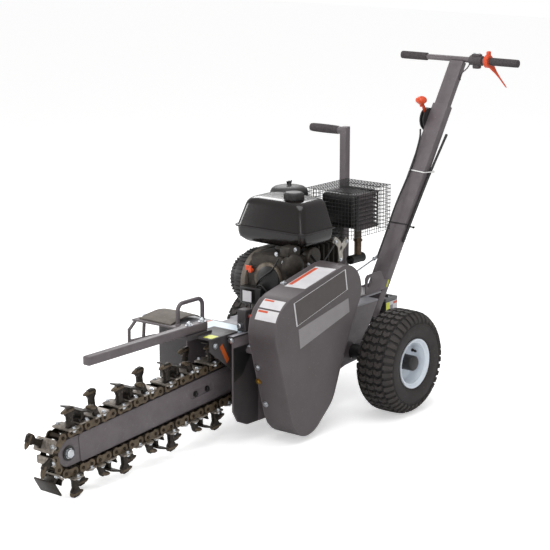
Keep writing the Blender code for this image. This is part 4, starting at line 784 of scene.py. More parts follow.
class TRENCHER_OT_chain(Step, bpy.types.Operator):
    """Model the roller chain link by link, with its cutters and their bolts"""

    bl_idname = "trencher.chain"
    bl_label = "Chain and cutters"

    def build(self, sizes, colours):
        thick = sizes.link_plate
        upper = arc((pitch / 2, 0), 0.0155, 128, -128, 11)
        outline = [*upper, *[(-x, -y) for x, y in upper]]
        copies = {"inner": [], "outer": []}
        for side in (-1, 1):
            for name, inner in (("inner", 0.0236), ("outer", 0.0239 + thick)):
                low, high = sorted((side * inner, side * (inner + thick)))
                shape = plate(f"{name}_plate", outline, "Y", low, high, 0.0007, 1)
                first = 0 if name == "inner" else 1
                copies[name].append(repeated(f"{name}_plates_{side}", shape,
                                             [at_link(t) for t in range(first, chain_links, 2)]))
        pins = bar("pin", 0.0062, (0, -0.0335, 0), (0, 0.0335, 0), 12, 0.0012)
        roller = bar("roller", 0.0104, (0, -0.0232, 0), (0, 0.0232, 0), 16, 0.0008)
        every_pin = [at_pin(t) for t in range(chain_links)]
        settled(joined("outer_plates", *copies["outer"]), "frame", "worn_link_steel",
                ("chain_upper", "chain_lower"))
        settled(joined("inner_plates", *copies["inner"]), "frame", "oiled_chain_steel")
        settled(joined("chain_pins", repeated("pins", pins, every_pin),
                       repeated("rollers", roller, every_pin)), "frame", "oiled_chain_steel")
        self.cutters(sizes)

    def cutters(self, sizes):
        """Tall pointed cutters on each side by turns, a small slanted one and a tilted cup."""
        r = sizes.tooth_radius
        tall, small, cups = [], [], []
        for t in range(chain_links):
            if t % 6 == 0:
                tall.append(at_pin(t))
            elif t % 6 == 2:
                tall.append(at_pin(t) @ Matrix.Scale(-1, 4, (0, 1, 0)))
            elif t % 6 == 3:
                small.append(at_pin(t))
            elif t % 6 == 4 and t < chain_links - 1:
                cups.append(at_pin(t + 0.4))

        base = plate("tall_base", rounded_box((-0.023, -0.034), (0.023, 0.05), 0.006), "Z",
                     0.0135, 0.0195, 0.0012)
        small_base = plate("small_base", rounded_box((-0.014, -0.034), (0.014, 0.044), 0.005), "Z",
                           0.0135, 0.0195, 0.0012)
        cup_base = plate("cup_base", rounded_box((-0.022, -0.034), (0.022, 0.034), 0.005), "Z",
                         0.0135, 0.0195, 0.0012)
        body = plate("tall_body", [
            (-0.018, 0.019), (0.015, 0.019), (0.01, 0.03), (0.01, 0.056), (0.015, 0.062),
            (0.015, 0.079), (0.01, 0.0845), (-0.012, 0.087), (-0.019, 0.08), (-0.019, 0.064),
            (-0.011, 0.054), (-0.012, 0.03)], "Y", 0.0185, 0.0335, 0.0022)
        point = turned("tall_point", [
            (0, -0.02), (r * 0.9, -0.02), (r, -0.018), (r, 0.011), (r * 0.92, 0.018),
            (r * 0.62, 0.027), (r * 0.3, 0.0325), (0, 0.034)], (0, 0.026, 0.0755), "X", 16)
        stem = plate("small_body", [
            (-0.016, 0.019), (0.008, 0.019), (0.012, 0.034), (0.02, 0.045), (0.018, 0.054),
            (0.004, 0.06), (-0.004, 0.052), (-0.008, 0.036)], "Y", 0.0215, 0.035, 0.002)
        tip = turned("small_point", [
            (0, -0.012), (r * 0.9, -0.012), (r, -0.01), (r, 0.01), (r * 0.9, 0.018),
            (r * 0.55, 0.027), (0, 0.032)], (0, 0, 0), "X", 14)
        moved(tip, Matrix.Translation((0.012, 0.028, 0.0515)) @ Matrix.Rotation(-0.35, 4, "Y"))
        blade = plate("cup_blade", [
            (0.0265, 0.0675), (0.0285, 0.064), (0.025, 0.061), (-0.01, 0.048), (-0.025, 0.041),
            (-0.0275, 0.0435), (-0.0265, 0.047), (-0.012, 0.0535), (0.022, 0.066)], "Y",
            -0.046, 0.046, 0.0015)
        prop = plate("cup_prop", [
            (-0.012, 0.019), (0.01, 0.019), (0.004, 0.036), (0.004, 0.0535), (-0.01, 0.049),
            (-0.009, 0.034)], "Y", -0.022, 0.022, 0.0015)
        heel = plate("cup_lip", [(0.012, 0.019), (0.02, 0.019), (0.026, 0.036), (0.021, 0.037)],
                     "Y", -0.03, 0.03, 0.001)

        def spread(name, shape, matrices):
            """Copies of a shape along the chain, with the mirrored ones turned outwards."""
            return tidy(repeated(name, shape, matrices))

        steel = [spread("tall_bodies", body, tall), spread("small_bodies", stem, small),
                 spread("cup_blades", joined("cup", blade, prop, heel), cups)]
        settled(soften(joined("cutter_bodies", *steel)), "frame", "forged_cutter_steel")
        bases = [spread("tall_bases", base, tall), spread("small_bases", small_base, small),
                 spread("cup_bases", cup_base, cups)]
        settled(soften(joined("cutter_bases", *bases)), "frame", "scoured_base_steel")
        points = [spread("tall_points", point, tall), spread("small_points", tip, small)]
        settled(soften(joined("cutter_points", *points)), "frame", "brazed_carbide")

        def pair(places, nuts):
            """Bolt heads on a base plate, with their nuts below it where asked."""
            made = []
            for x, y in places:
                made.append(moved(hex_bolt(0.0062, 0.0055, 1.3), Matrix.Translation((x, y, 0.0195))))
                if nuts:
                    under = Matrix.Translation((x, y, 0.0133)) @ Matrix.Rotation(math.pi, 4, "X")
                    made.append(moved(hex_bolt(0.0068, 0.0075, 1.35), under))
            return joined("bolt_pair", *made)

        fixed = [
            spread("tall_bolts", pair([(0.0, 0.0425), (0, -0.0275)], True), tall),
            spread("small_bolts", pair([(0, 0.0385)], False), small),
            spread("cup_bolts", pair([(-0.012, 0.0275), (-0.012, -0.0275)], False), cups)]
        settled(soften(joined("cutter_bolts", *fixed)), "frame", "zinc_plated_steel")


class TRENCHER_OT_housing(Step, bpy.types.Operator):
    """Model the chain housing: side plates, lid, bracket, restraint bar, lift handle and flap"""

    bl_idname = "trencher.housing"
    bl_label = "Housing"

    def build(self, sizes, colours):
        recast("frame_plate_near", "frame", "powder_coated_steel", 0.0012)
        recast("frame_plate_far", "frame", "powder_coated_steel", 0.0012)
        # The deck's pale enamel is painted sky light on its top.
        recast("engine_deck", "frame", "deck_enamel_painted_skylight", 0.001)
        # The lid's dark coat and the bracket's are partly painted shade; the lid's top gets a pale sheet.
        recast("housing_lid", "frame", "dark_coat_and_painted_shade", 0.001)
        recast("bar_bracket", "frame", "dark_coat_and_painted_shade", 0.0014)
        recast("restraint_bar", "frame", "powder_coated_steel", 0.003, 3)
        recast("flap_frame", "frame", "powder_coated_steel", 0.001)
        recast("axle", "frame", "satin_black_enamel", 0.0012)
        self.painted_shade_on_front()
        self.lid_plates()
        self.handle()
        self.flap()
        self.fasteners(sizes)

    def painted_shade_on_front(self):
        """Painted shade: a dark sheet over the front of the near plate, and a darker one over its upper
        part, where the bracket and the switch box shade it.
        """
        shade_sheet = [(-0.6985, 0.1265), (-0.674, 0.086), (-0.625, 0.064), (-0.565, 0.0635), (-0.565, 0.352),
                 (-0.6985, 0.352)]
        deep_shade = [(-0.695, 0.23), (-0.65, 0.25), (-0.59, 0.335), (-0.59, 0.35), (-0.695, 0.35)]
        # Both sheets are painted shade, the second one darker.
        fitted(plate("front_painted_shade", shade_sheet, "Y", -0.1066, -0.1062, 0), "dark_coat_and_painted_shade")
        fitted(plate("front_painted_deep_shade", deep_shade, "Y", -0.1071, -0.1067, 0), "satin_black_enamel")

    def lid_plates(self):
        """A pale sheet over the lid's top as painted sky light, the pale plate on it with its coloured
        line, and the two small patches.
        """
        # The lid's top sheet is painted sky light over the dark lid.
        sheet = [(-0.6985, -0.105), (-0.565, -0.105), (-0.565, 0.2305), (-0.6985, 0.2305)]
        fitted(plate("lid_top_painted_skylight", sheet, "Z", 0.3918, 0.3923, 0.0002, 1), "deck_enamel_painted_skylight")
        top = 0.3924
        field = [(-0.69, 0.1), (-0.69, -0.06), (-0.646, -0.086), (-0.572, -0.086), (-0.572, 0.1)]
        fitted(plate("lid_plate", field, "Z", top, top + 0.0008, 0.0002, 1), "pale_blue_plate")
        line = [(-0.6885, 0.0985), (-0.6885, 0.0905), (-0.5735, 0.0905), (-0.5735, 0.0985)]
        fitted(plate("lid_line", line, "Z", top + 0.0007, top + 0.0011, 0), "red_film")
        fitted(plate("bracket_patch", rounded_box((-0.781, -0.079), (-0.741, -0.043), 0.004),
                     "Z", 0.39845, 0.3989, 0), "yellow_film")
        patch = [(-0.7395, 0.36), (-0.7265, 0.3705), (-0.69, 0.309), (-0.702, 0.2955)]
        fitted(plate("gusset_patch", patch, "Y", -0.0815, -0.0811, 0), "orange_film")

    def handle(self):
        """The round-bar lift handle on the lid, with its welded feet."""
        low_front, low_rear, top, bend = 0.3988, 0.3925, 0.472, 0.026
        x0, x1, y = -0.712, -0.582, 0.132
        quarter = [math.pi / 2 * k / 8 for k in range(9)]
        route = [Vector((x0, y, low_front))]
        route += [Vector((x0 + bend - bend * math.cos(a), y, top - bend + bend * math.sin(a)))
                  for a in quarter]
        route += [Vector((x1 - bend + bend * math.sin(a), y, top - bend + bend * math.cos(a)))
                  for a in quarter]
        route.append(Vector((x1, y, low_rear)))
        loop = tube("lift_loop", route, 0.0075, 5)
        bead = [(0, 0), (0.0115, 0), (0.0095, 0.003), (0.0075, 0.0055), (0, 0.0055)]
        welds = [turned(f"weld_{x}", bead, (x, y, foot - 0.0003), "Z", 24)
                 for x, foot in ((x0, low_front), (x1, low_rear))]
        fitted(joined("lift_handle_bar", loop, *welds), "powder_coated_steel", ("lift_handle",))

    def flap(self):
        """The curved rubber flap: a thin strip that arches up and sags again."""
        line = smooth_route([(-0.735, 0, 0.3998), (-0.712, 0, 0.4046), (-0.69, 0, 0.4088),
                             (-0.64, 0, 0.4128), (-0.6, 0, 0.4078), (-0.578, 0, 0.3988)], 5)
        rings = []
        for k, y in enumerate((0.1475, 0.149, 0.185, 0.22, 0.255, 0.291, 0.2925)):
            edge = 0.0005 if k in (0, 6) else 0
            dip = 0.0022 * math.sin((y - 0.1475) / 0.145 * math.pi)
            upper = [(p.x, y, p.z + 0.0022 + dip - edge) for p in line]
            lower = [(p.x, y, p.z - 0.0022 + dip + edge) for p in line[::-1]]
            rings.append(upper + lower)
        fitted(loft("spoil_flap", rings), "flap_rubber", ("rubber_flap",))

    def fasteners(self, sizes):
        """Domed nuts on the bar, bolts along the flap's strip and through the side plates."""
        dome = turned("dome_nut", [(0, 0.015), (0.0035, 0.0142), (0.0062, 0.012), (0.0072, 0.0085),
                                   (0.0088, 0.008), (0.0088, 0.002), (0.0125, 0.0018),
                                   (0.0125, 0), (0, 0)], (0, 0, 0), "Z", 20)
        spots = [Vector((-0.806, -0.002, 0.4384)), Vector((-0.739, -0.002, 0.4384))]
        domes = repeated("dome_nuts", dome, [at_axle(Matrix.Translation(spot)) for spot in spots])
        settled(domes, "frame", "zinc_plated_steel")
        r = sizes.bolt_radius
        places = [((-0.686, 0.31, 0.3984), (0, 0, 1)), ((-0.689, 0.246, 0.3984), (0, 0, 1)),
                  ((-0.696, 0.17, 0.3984), (0, 0, 1)),
                  ((-0.762, -0.0814, 0.37), (0, -1, 0)),
                  ((-0.7004, -0.0985, 0.379), (-1, 0, 0)),
                  ((-0.613, -0.1072, 0.339), (0, -1, 0)),
                  ((-0.5, -0.1062, 0.11), (0, -1, 0))]
        settled(bolts("housing_bolts", places, r, 0.0065), "frame", "zinc_plated_steel")


class TRENCHER_OT_switch(Step, bpy.types.Operator):
    """Model the switch box with its red button and its round knob"""

    bl_idname = "trencher.switch"
    bl_label = "Switch box"

    def build(self, sizes, colours):
        # The switch box's dark coat is partly painted shade.
        recast("switch_box", "frame", "dark_coat_and_painted_shade", 0.0022, 3)
        cap = turned("stop_cap", [
            (0, -0.0085), (0.005, -0.0083), (0.0066, -0.0072), (0.007, -0.0055), (0.007, -0.0004),
            (0, -0.0004)], (-0.607, -0.103, 0.446), "Y", 24)
        fitted(cap, "red_abs", ("stop_button",), body="stop_button")
        bezel = turned("stop_bezel", [
            (0.0074, -0.0002), (0.0102, -0.0002), (0.0102, -0.002), (0.0094, -0.0032),
            (0.0074, -0.0032)], (-0.607, -0.1032, 0.446), "Y", 24, True)
        fitted(bezel, "black_abs")
        profile = [(0, -0.0163), (0.0068, -0.0163), (0.0088, -0.0143), (0.009, -0.0003), (0, -0.0003)]
        knob = turned("knob", profile, (-0.6293, -0.085, 0.416), "X", 28)
        fitted(knob, "zinc_plated_steel", ("switch_knob",), body="switch_knob")


def guard_outline(count):
    """The convex band round the guard's four circles, as (point, outward normal) in X and Z."""
    cloud = sorted({(round(x + r * math.cos(a), 6), round(z + r * math.sin(a), 6))
                    for x, z, r in guard_circles for a in [2 * math.pi * k / 360 for k in range(360)]})

    def half(points):
        """One side of the convex hull of sorted points."""
        hull = []
        for p in points:
            while len(hull) > 1 and ((hull[-1][0] - hull[-2][0]) * (p[1] - hull[-2][1])
                                     - (hull[-1][1] - hull[-2][1]) * (p[0] - hull[-2][0])) <= 0:
                hull.pop()
            hull.append(p)
        return hull[:-1]

    hull = [Vector(p) for p in half(cloud) + half(cloud[::-1])]
    lengths = [(b - a).length for a, b in zip(hull, hull[1:] + hull[:1])]
    step = sum(lengths) / count
    points, walked, index = [], 0.0, 0
    for k in range(count):
        while walked + lengths[index] < k * step:
            walked += lengths[index]
            index += 1
        start, end = hull[index], hull[(index + 1) % len(hull)]
        points.append(start.lerp(end, (k * step - walked) / lengths[index]))
    made = []
    for k, point in enumerate(points):
        way = (points[(k + 1) % count] - points[k - 1]).normalized()
        made.append((point, Vector((way.y, -way.x))))
    return made


class TRENCHER_OT_guard(Step, bpy.types.Operator):
    """Model the belt guard as a pressed shell with its plates, bolts and back sheet"""

    bl_idname = "trencher.guard"
    bl_label = "Belt guard"

    def build(self, sizes, colours):
        band = guard_outline(220)
        rim_y, face_y = -0.1545, -0.27

        def rounding(point, normal):
            """The edge's radius: small on top, large at the lower rear."""
            lean = max(0.0, normal.x * 0.8 - normal.y * 0.6)
            low = min(1.0, max(0.0, (0.47 - point.y) / 0.22))
            return 0.0035 + 0.03 * lean ** 1.5 * low

        def edge(turn):
            """The band turned over by an angle on the rounded edge of the face."""
            points = []
            for point, normal in band:
                r = rounding(point, normal)
                inner = point - normal * (r * (1 - math.cos(turn)))
                points.append((inner.x, face_y + r * (1 - math.sin(turn)), inner.y))
            return points

        rings = [[(point.x, rim_y - depth, point.y) for point, _ in band] for depth in (0, 0.03, 0.07)]
        rings += [edge(math.radians(turn)) for turn in range(0, 91, 15)]
        shell = modified(loft("guard_shell", rings, False), "SOLIDIFY", thickness=sizes.guard_wall,
                         offset=-1)
        fitted(soften(tidy(shell)), "powder_coated_sheet", ("belt_guard",))
        recast("guard_back", "frame", "powder_coated_steel", 0.0008)
        self.plates(face_y)
        self.fasteners(sizes)

    def plates(self, face):
        """Blank films on the face, the top and the front rim."""
        def film(name, corners, out, finish):
            """A film on the guard's flat face, a little way out from it."""
            fitted(plate(name, corners, "Y", face - out - FILM, face - out, 0), finish)

        def shrunk(corners, by):
            """The same corners, each drawn in towards the middle."""
            middle = sum((Vector(c) for c in corners), Vector((0, 0))) / 4
            return [Vector(c) - (Vector(c) - middle).normalized() * by for c in corners]

        panel = [(-0.5746, 0.5107), (-0.279, 0.577), (-0.2659, 0.5011), (-0.5577, 0.4254)]
        film("guard_panel_edge", panel, 0.0001, "pale_film")
        film("guard_panel", shrunk(panel, 0.0065), FILM, "dark_film")
        lower = [(-0.5466, 0.413), (-0.261, 0.469), (-0.254, 0.418), (-0.537, 0.343)]
        film("guard_panel_lower", lower, 0.0001, "grey_film")
        along_top = Vector((0.979, 0, 0.205))
        up = Vector((-0.205, 0, 0.979))
        origin = Vector((-0.3005, 0, 0.5879))

        def on_top(name, corners, rise, finish):
            """A film on the guard's slanted top, from corners given in X and Y."""
            low = []
            for x, y in corners:
                share = (x - origin.x) / along_top.x
                low.append(origin + along_top * share + Vector((0, y, 0)) + up * rise)
            high = [p + up * FILM for p in low]
            fitted(loft(name, [low, high]), finish)

        field = [(-0.508, -0.178), (-0.33, -0.178), (-0.323, -0.262), (-0.501, -0.262)]
        on_top("guard_top_plate", field, 0.0002, "pale_film")
        strip = [(-0.49, -0.181), (-0.342, -0.181), (-0.34, -0.196), (-0.488, -0.196)]
        on_top("guard_top_line", strip, 0.0006, "red_film")
        x, z, radius = guard_circles[-1]
        for name, low, high in (("upper", 117, 136), ("lower", 139, 157)):
            for part, y0, y1, out, finish, a0, a1 in (
                    ("plate", -0.262, -0.172, 0.0003, "pale_film", low, high),
                    ("line", -0.216, -0.176, 0.0007, "red_film", low + 1.5, low + 5.0)):
                edge = [*arc((x, z), radius + out, a0, a1, 8),
                        *arc((x, z), radius + out + FILM, a1, a0, 8)]
                fitted(plate(f"rim_{part}_{name}", edge, "Y", y0, y1, 0), finish)
        seam = [*arc((x, z), 0.1222, 207.5, 208.3, 2), *arc((x, z), 0.1227, 208.3, 207.5, 2)]
        fitted(plate("rim_seam", seam, "Y", -0.255, -0.158, 0), "grey_film")

    def fasteners(self, sizes):
        """Bolts round the guard's rim, one of them in yellow zinc."""
        side = (-0.959, 0, -0.282)
        r = sizes.bolt_radius
        places = [((-0.4882, -0.158, 0.549), (-0.205, 0, 0.979)),
                  ((-0.6398, -0.1652, 0.282), side),
                  ((-0.5985, -0.1673, 0.1415), (-0.97, 0, -0.24)),
                  ((-0.2, -0.165, 0.55), (0.8, 0, 0.6))]
        settled(bolts("guard_bolts", places, r, 0.006), "frame", "zinc_plated_steel")
        brass = [((-0.6236, -0.156, 0.227), side)]
        settled(bolts("guard_latch_bolt", brass, r, 0.006), "frame", "yellow_zinc")


class TRENCHER_OT_drive(Step, bpy.types.Operator):
    """Dress the belt drive and the head shaft behind the guard"""

    bl_idname = "trencher.drive"
    bl_label = "Belt drive"

    def build(self, sizes, colours):
        for node in ("head_shaft", "drive_sprocket", "driven_pulley"):
            recast(node, "head_drive", "ground_steel", 0.0006, 1)
        recast("engine_pulley", "crankshaft", "ground_steel", 0.0006, 1)
        recast("idler_pulley", "idler_pulley", "ground_steel", 0.0006, 1)
        recast("idler_arm", "idler_arm", "powder_coated_steel", 0.0008)
        recast("drive_belt", "frame", "black_pvc", 0.0006, 1)


class TRENCHER_OT_tank(Step, bpy.types.Operator):
    """Model the fuel tank with its seam flange, and its ribbed cap"""

    bl_idname = "trencher.tank"
    bl_label = "Fuel tank"

    def build(self, sizes, colours):
        low, high = (-0.312, -0.105), (-0.118, 0.205)
        cap_x = -0.227
        # Each level: its height, how far it is drawn in on every side, and its corner radius.
        levels = [
            (0.62, 0.034, 0.026), (0.6215, 0.026, 0.028), (0.626, 0.018, 0.03), (0.64, 0.004, 0.028),
            (0.655, 0.001, 0.027), (0.677, 0, 0.026), (0.6775, -0.007, 0.03),
            (0.6788, -0.0085, 0.031), (0.6822, -0.0085, 0.031), (0.6835, -0.007, 0.03),
            (0.684, 0, 0.026), (0.7, 0.0045, 0.026), (0.73, 0.013, 0.026), (0.758, 0.0205, 0.027),
            (0.768, 0.024, 0.028),
            (0.775, 0.029, 0.03), (0.78, 0.035, 0.033), (0.783, 0.042, 0.036), (0.7848, 0.054, 0.03),
            (0.785, 0.06, 0.02)]
        rings = []
        for z, inset, corner in levels:
            rear = inset * 0.4 if inset > 0 else inset
            outline = rounded_box((low[0] + inset, low[1] + inset), (high[0] - rear, high[1] - inset),
                                  corner, 7)
            rings.append([(x, y, z) for x, y in outline])
        fitted(loft("tank_shell", rings), "gloss_black_enamel", ("fuel_tank",))
        neck = turned("filler_neck", [
            (0, 0), (0.04, 0), (0.0405, 0.0012), (0.038, 0.0022), (0, 0.0022)],
            (cap_x, 0, 0.7842), "Z", 40)
        fitted(neck, "gloss_black_enamel")
        body = turned("cap_body", [
            (0, 0.7853), (0.034, 0.7853), (0.0352, 0.7862), (0.0352, 0.804), (0.034, 0.808),
            (0.031, 0.8108), (0.025, 0.8122), (0.01, 0.8118), (0, 0.8116)], (cap_x, 0, 0), "Z", 48)
        rib = block("cap_rib", (0.0335, -0.0016, 0.787), (0.037, 0.0016, 0.8062), 0.001, 1)
        ribs = repeated("cap_ribs", rib, all_round((cap_x, 0, 0), 28, "Z"))
        fitted(joined("ribbed_cap", body, ribs), "black_abs", ("fuel_cap",), body="fuel_cap")


class TRENCHER_OT_crankcase(Step, bpy.types.Operator):
    """Model the crankcase castings, the cylinder head and what is bolted to them"""

    bl_idname = "trencher.crankcase"
    bl_label = "Crankcase and cylinder"

    def build(self, sizes, colours):
        recast("crankcase", "frame", "sand_cast_aluminium", 0.003, 3)
        self.castings()
        self.cylinder()
        self.front()

    def castings(self):
        """The near cover with its webs, the domes and bosses cast beside it, and their bolts."""
        cover = turned("case_cover", [
            (0, -0.1), (0.03, -0.1), (0.034, -0.0985), (0.07, -0.0975), (0.078, -0.0945),
            (0.082, -0.089), (0.083, -0.0846), (0, -0.0846)], crank, "Y", 48)
        web = block("cover_web", (0.03, -0.0992, -0.0022), (0.076, -0.09, 0.0022), 0.001)
        webs = repeated("cover_webs", web, all_round(crank, 8))
        dome = turned("governor_dome", [
            (0, 0.018), (0.018, 0.0165), (0.034, 0.0115), (0.043, 0.003), (0.045, -0.005), (0, -0.005)],
            axis="Z", steps=36)
        moved(dome, facing((-0.338, -0.084, 0.572), (-0.35, -1, 0.12)))
        ear = plate("case_ear", rounded_box((-0.362, 0.598), (-0.29, 0.64), 0.014), "Y",
                    -0.08, -0.04, 0.004, 3)
        hump = turned("cam_hump", [(0, -0.03), (0.034, -0.03), (0.038, -0.025), (0.038, 0), (0, 0)],
                      (-0.232, -0.07, 0.585), "Y", 36, width=0.003)
        fitted(soften(joined("engine_castings", cover, webs, ear, hump)), "sand_cast_aluminium")
        fitted(dome, "sand_cast_aluminium")
        near, front = (0, -1, 0), (-1, 0, 0)
        places = [((x, -0.0962, z), near) for x, z in arc((crank[0], crank[2]), 0.077, 20, 320, 5)]
        places += [((-0.366, y, z), front) for y, z in ((-0.062, 0.585), (-0.066, 0.43), (0, 0.4))]
        places += [((-0.325, -0.0805, 0.628), near), ((-0.3655, -0.03, 0.612), front)]
        settled(bolts("case_bolts", places, 0.0058, 0.0058, 1.4), "frame", "zinc_plated_steel")

    def cylinder(self):
        """The cylinder head, the forked bracket over it, and the spark plug's boot and lead."""
        recast("cylinder_head", "frame", "sand_cast_aluminium", 0.0016)
        strap = smooth_route([(-0.112, -0.092, 0.63), (-0.098, -0.094, 0.622), (-0.08, -0.094, 0.606),
                              (-0.075, -0.094, 0.585), (-0.071, -0.094, 0.56), (-0.07, -0.092, 0.545)], 5)
        other = smooth_route([(-0.026, -0.09, 0.618), (-0.044, -0.094, 0.606), (-0.062, -0.094, 0.594),
                              (-0.073, -0.094, 0.578)], 5)

        def ribbon(name, route, wide):
            """A flat strip that follows a route in the plane of X and Z."""
            thick = 0.0028
            rings = []
            for a, b, c in zip([route[0], *route[:-1]], route, [*route[1:], route[-1]]):
                way = (c - a).normalized()
                flat = Vector((way.z, 0, -way.x))
                rings.append([tuple(b + flat * wide + Vector((0, s * thick, 0))) for s in (-1, 1)]
                             + [tuple(b - flat * wide + Vector((0, s * thick, 0))) for s in (1, -1)])
            return loft(name, rings)

        fitted(soften(joined("y_bracket", ribbon("strap", strap, 0.0125),
                             ribbon("branch", other, 0.0115)), 0.0008), "bright_cast_aluminium")
        fasteners = [(where, (0, -1, 0)) for where in (
            (-0.104, -0.097, 0.622), (-0.07, -0.095, 0.55), (-0.034, -0.0955, 0.612))]
        settled(bolts("bracket_bolts", fasteners, 0.0052, 0.005, 1.4), "frame", "zinc_plated_steel")
        plug = turned("spark_boot", [
            (0, 0), (0.0085, 0), (0.0085, 0.03), (0.007, 0.034), (0.0055, 0.046), (0, 0.047)],
            axis="Z", steps=20)
        moved(plug, facing((-0.05, 0, 0.6), (0.5, -0.5, 0.6)))
        lead = tube("spark_lead", smooth_route([
            (-0.03, -0.03, 0.63), (-0.06, -0.08, 0.64), (-0.13, -0.098, 0.6), (-0.2, -0.102, 0.56),
            (-0.26, -0.104, 0.6)], 6), 0.0032, 3)
        fitted(joined("spark_lead_set", plug, lead), "black_pvc")

    def front(self):
        """The round cover on the engine's front, its control box, and loose leads."""
        flipped = Matrix.Rotation(math.pi, 4, "X")
        low = turned("front_drum", [
            (0, -0.021), (0.02, -0.021), (0.023, -0.019), (0.052, -0.0165), (0.058, -0.013),
            (0.06, -0.008), (0.06, 0), (0, 0)], axis="Z", steps=48)
        moved(low, facing((-0.3652, 0.004, 0.518), (-1, 0, 0)) @ flipped)
        box = block("ignition_box", (-0.415, 0.004, 0.426), (-0.361, 0.1, 0.488), 0.005, 3)
        back = block("ignition_back", (-0.3768, 0.028, 0.482), (-0.361, 0.092, 0.558), 0.003, 2)
        # The drum's paler casting colour is partly a painted highlight.
        fitted(low, "paler_casting_painted_highlight")
        cap = turned("drum_cap", [
            (0, -0.003), (0.047, -0.003), (0.05, -0.001), (0.05, 0.004), (0, 0.004)], axis="Z", steps=48)
        fitted(moved(cap, facing((-0.3865, -0.007, 0.518), (-1, 0, 0)) @ flipped), "satin_black_enamel")
        fitted(joined("front_covers", box, back), "satin_black_enamel")
        label = block("ignition_plate", (-0.4156, 0.045, 0.434), (-0.4152, 0.085, 0.474), 0)
        fitted(label, "pale_film")
        filler = turned("filler_cap", [
            (0, 0), (0.014, 0), (0.015, 0.002), (0.015, 0.012), (0.012, 0.016), (0, 0.017)],
            axis="Z", steps=28)
        moved(filler, facing((-0.3652, -0.046, 0.42), (-1, 0, 0.25)))
        leads = [tube(f"lead_{radius}", smooth_route(points), radius) for radius, points in (
            (0.0028, [(-0.38, 0.05, 0.486), (-0.398, 0.02, 0.52), (-0.392, -0.03, 0.56),
                      (-0.38, -0.05, 0.6)]),
            (0.0024, [(-0.395, 0.04, 0.486), (-0.405, 0.01, 0.5), (-0.395, -0.02, 0.47),
                      (-0.372, -0.04, 0.45)]),
            (0.003, [(-0.4, 0.06, 0.43), (-0.41, 0.05, 0.405), (-0.39, 0.02, 0.398),
                     (-0.368, -0.01, 0.405)]))]
        fitted(joined("front_leads", filler, *leads), "black_pvc")


class TRENCHER_OT_starter(Step, bpy.types.Operator):
    """Model the blower housing, the vented recoil cover, its handle and the choke lever"""

    bl_idname = "trencher.starter"
    bl_label = "Blower and starter"

    def build(self, sizes, colours):
        volute = turned("volute", [
            (0, 0.0953), (0.104, 0.0953), (0.1085, 0.098), (0.1085, 0.117), (0.106, 0.119),
            (0, 0.119)], crank, "Y", 72)
        drum = turned("blower_drum", [
            (0, 0.118), (0.1, 0.118), (0.104, 0.12), (0.104, 0.146), (0.102, 0.154),
            (0.094, 0.158), (0, 0.158)], crank, "Y", 72)
        web = block("drum_rib", (0.102, 0.12, -0.0026), (0.1082, 0.148, 0.0026), 0.001)
        ribs = repeated("drum_ribs", web, all_round(crank, 40))
        fitted(joined("ribbed_drum", drum, ribs), "black_abs")
        shroud = block("shroud", (-0.28, 0.097, 0.47), (-0.06, 0.145, 0.598), 0.008, 4)
        fitted(soften(joined("blower_shell", volute, shroud)), "blower_enamel", ("blower_housing",))
        cover = turned("recoil_shell", [
            (0, 0.1583), (0.08, 0.1583), (0.08, 0.164), (0.0765, 0.168), (0.0755, 0.188),
            (0.071, 0.195), (0.056, 0.198), (0.03, 0.1965), (0, 0.1965)], crank, "Y", 64)
        lug = block("rim_lug", (0.074, 0.161, -0.003), (0.082, 0.189, 0.003), 0.0012)
        lugs = repeated("rim_lugs", lug, all_round(crank, 36))
        vent = block("vent_rib", (0.038, 0.193, -0.0022), (0.066, 0.2, 0.0022), 0.001)
        vents = repeated("vent_ribs", vent, all_round(crank, 20))
        fitted(joined("vented_cover", cover, lugs, vents), "black_abs", ("recoil_cover",))
        recast("recoil_handle", "recoil_handle", "black_abs", 0.002, 2)
        recast("choke_lever", "choke_lever", "orange_abs", 0.0014, 2)


class TRENCHER_OT_intake(Step, bpy.types.Operator):
    """Model the domed air cleaner and its wing nut"""

    bl_idname = "trencher.intake"
    bl_label = "Air cleaner"

    def build(self, sizes, colours):
        centre = (-0.035, 0.172, 0)
        body = turned("cleaner_body", [
            (0, 0.7905), (0.02, 0.7905), (0.04, 0.7888), (0.056, 0.7845), (0.0655, 0.778),
            (0.0705, 0.769), (0.0718, 0.76), (0.072, 0.724), (0.0735, 0.7225), (0.0735, 0.7175),
            (0.072, 0.716), (0.072, 0.7), (0.06, 0.69), (0.06, 0.645), (0.045, 0.64),
            (0.045, 0.6), (0, 0.6)], centre, "Z", 64)
        clip = block("cleaner_clip", (0.0712, -0.007, 0.706), (0.0762, 0.007, 0.738), 0.0012)
        clips = repeated("cleaner_clips", clip, all_round(centre, 4, "Z", 0.25))
        fitted(joined("domed_cleaner", body, clips), "black_abs", ("air_cleaner",))
        top = (-0.035, 0.172, 0.7903)
        hub = turned("nut_hub", [(0, 0.0175), (0.0035, 0.0165), (0.006, 0.012), (0.008, 0.003),
                                 (0.0105, 0), (0, 0)], top, "Z", 20)
        wing = [plate(f"wing_{s}", [
            (s * 0.003, 0.003), (s * 0.012, 0.005), (s * 0.0165, 0.015), (s * 0.012, 0.0175),
            (s * 0.005, 0.01)], "Y", -0.0013, 0.0013, 0.0006) for s in (-1, 1)]
        wings = moved(joined("wings", *wing), Matrix.Translation(top))
        fitted(soften(tidy(joined("wing_nut", hub, wings))), "satin_black_enamel")


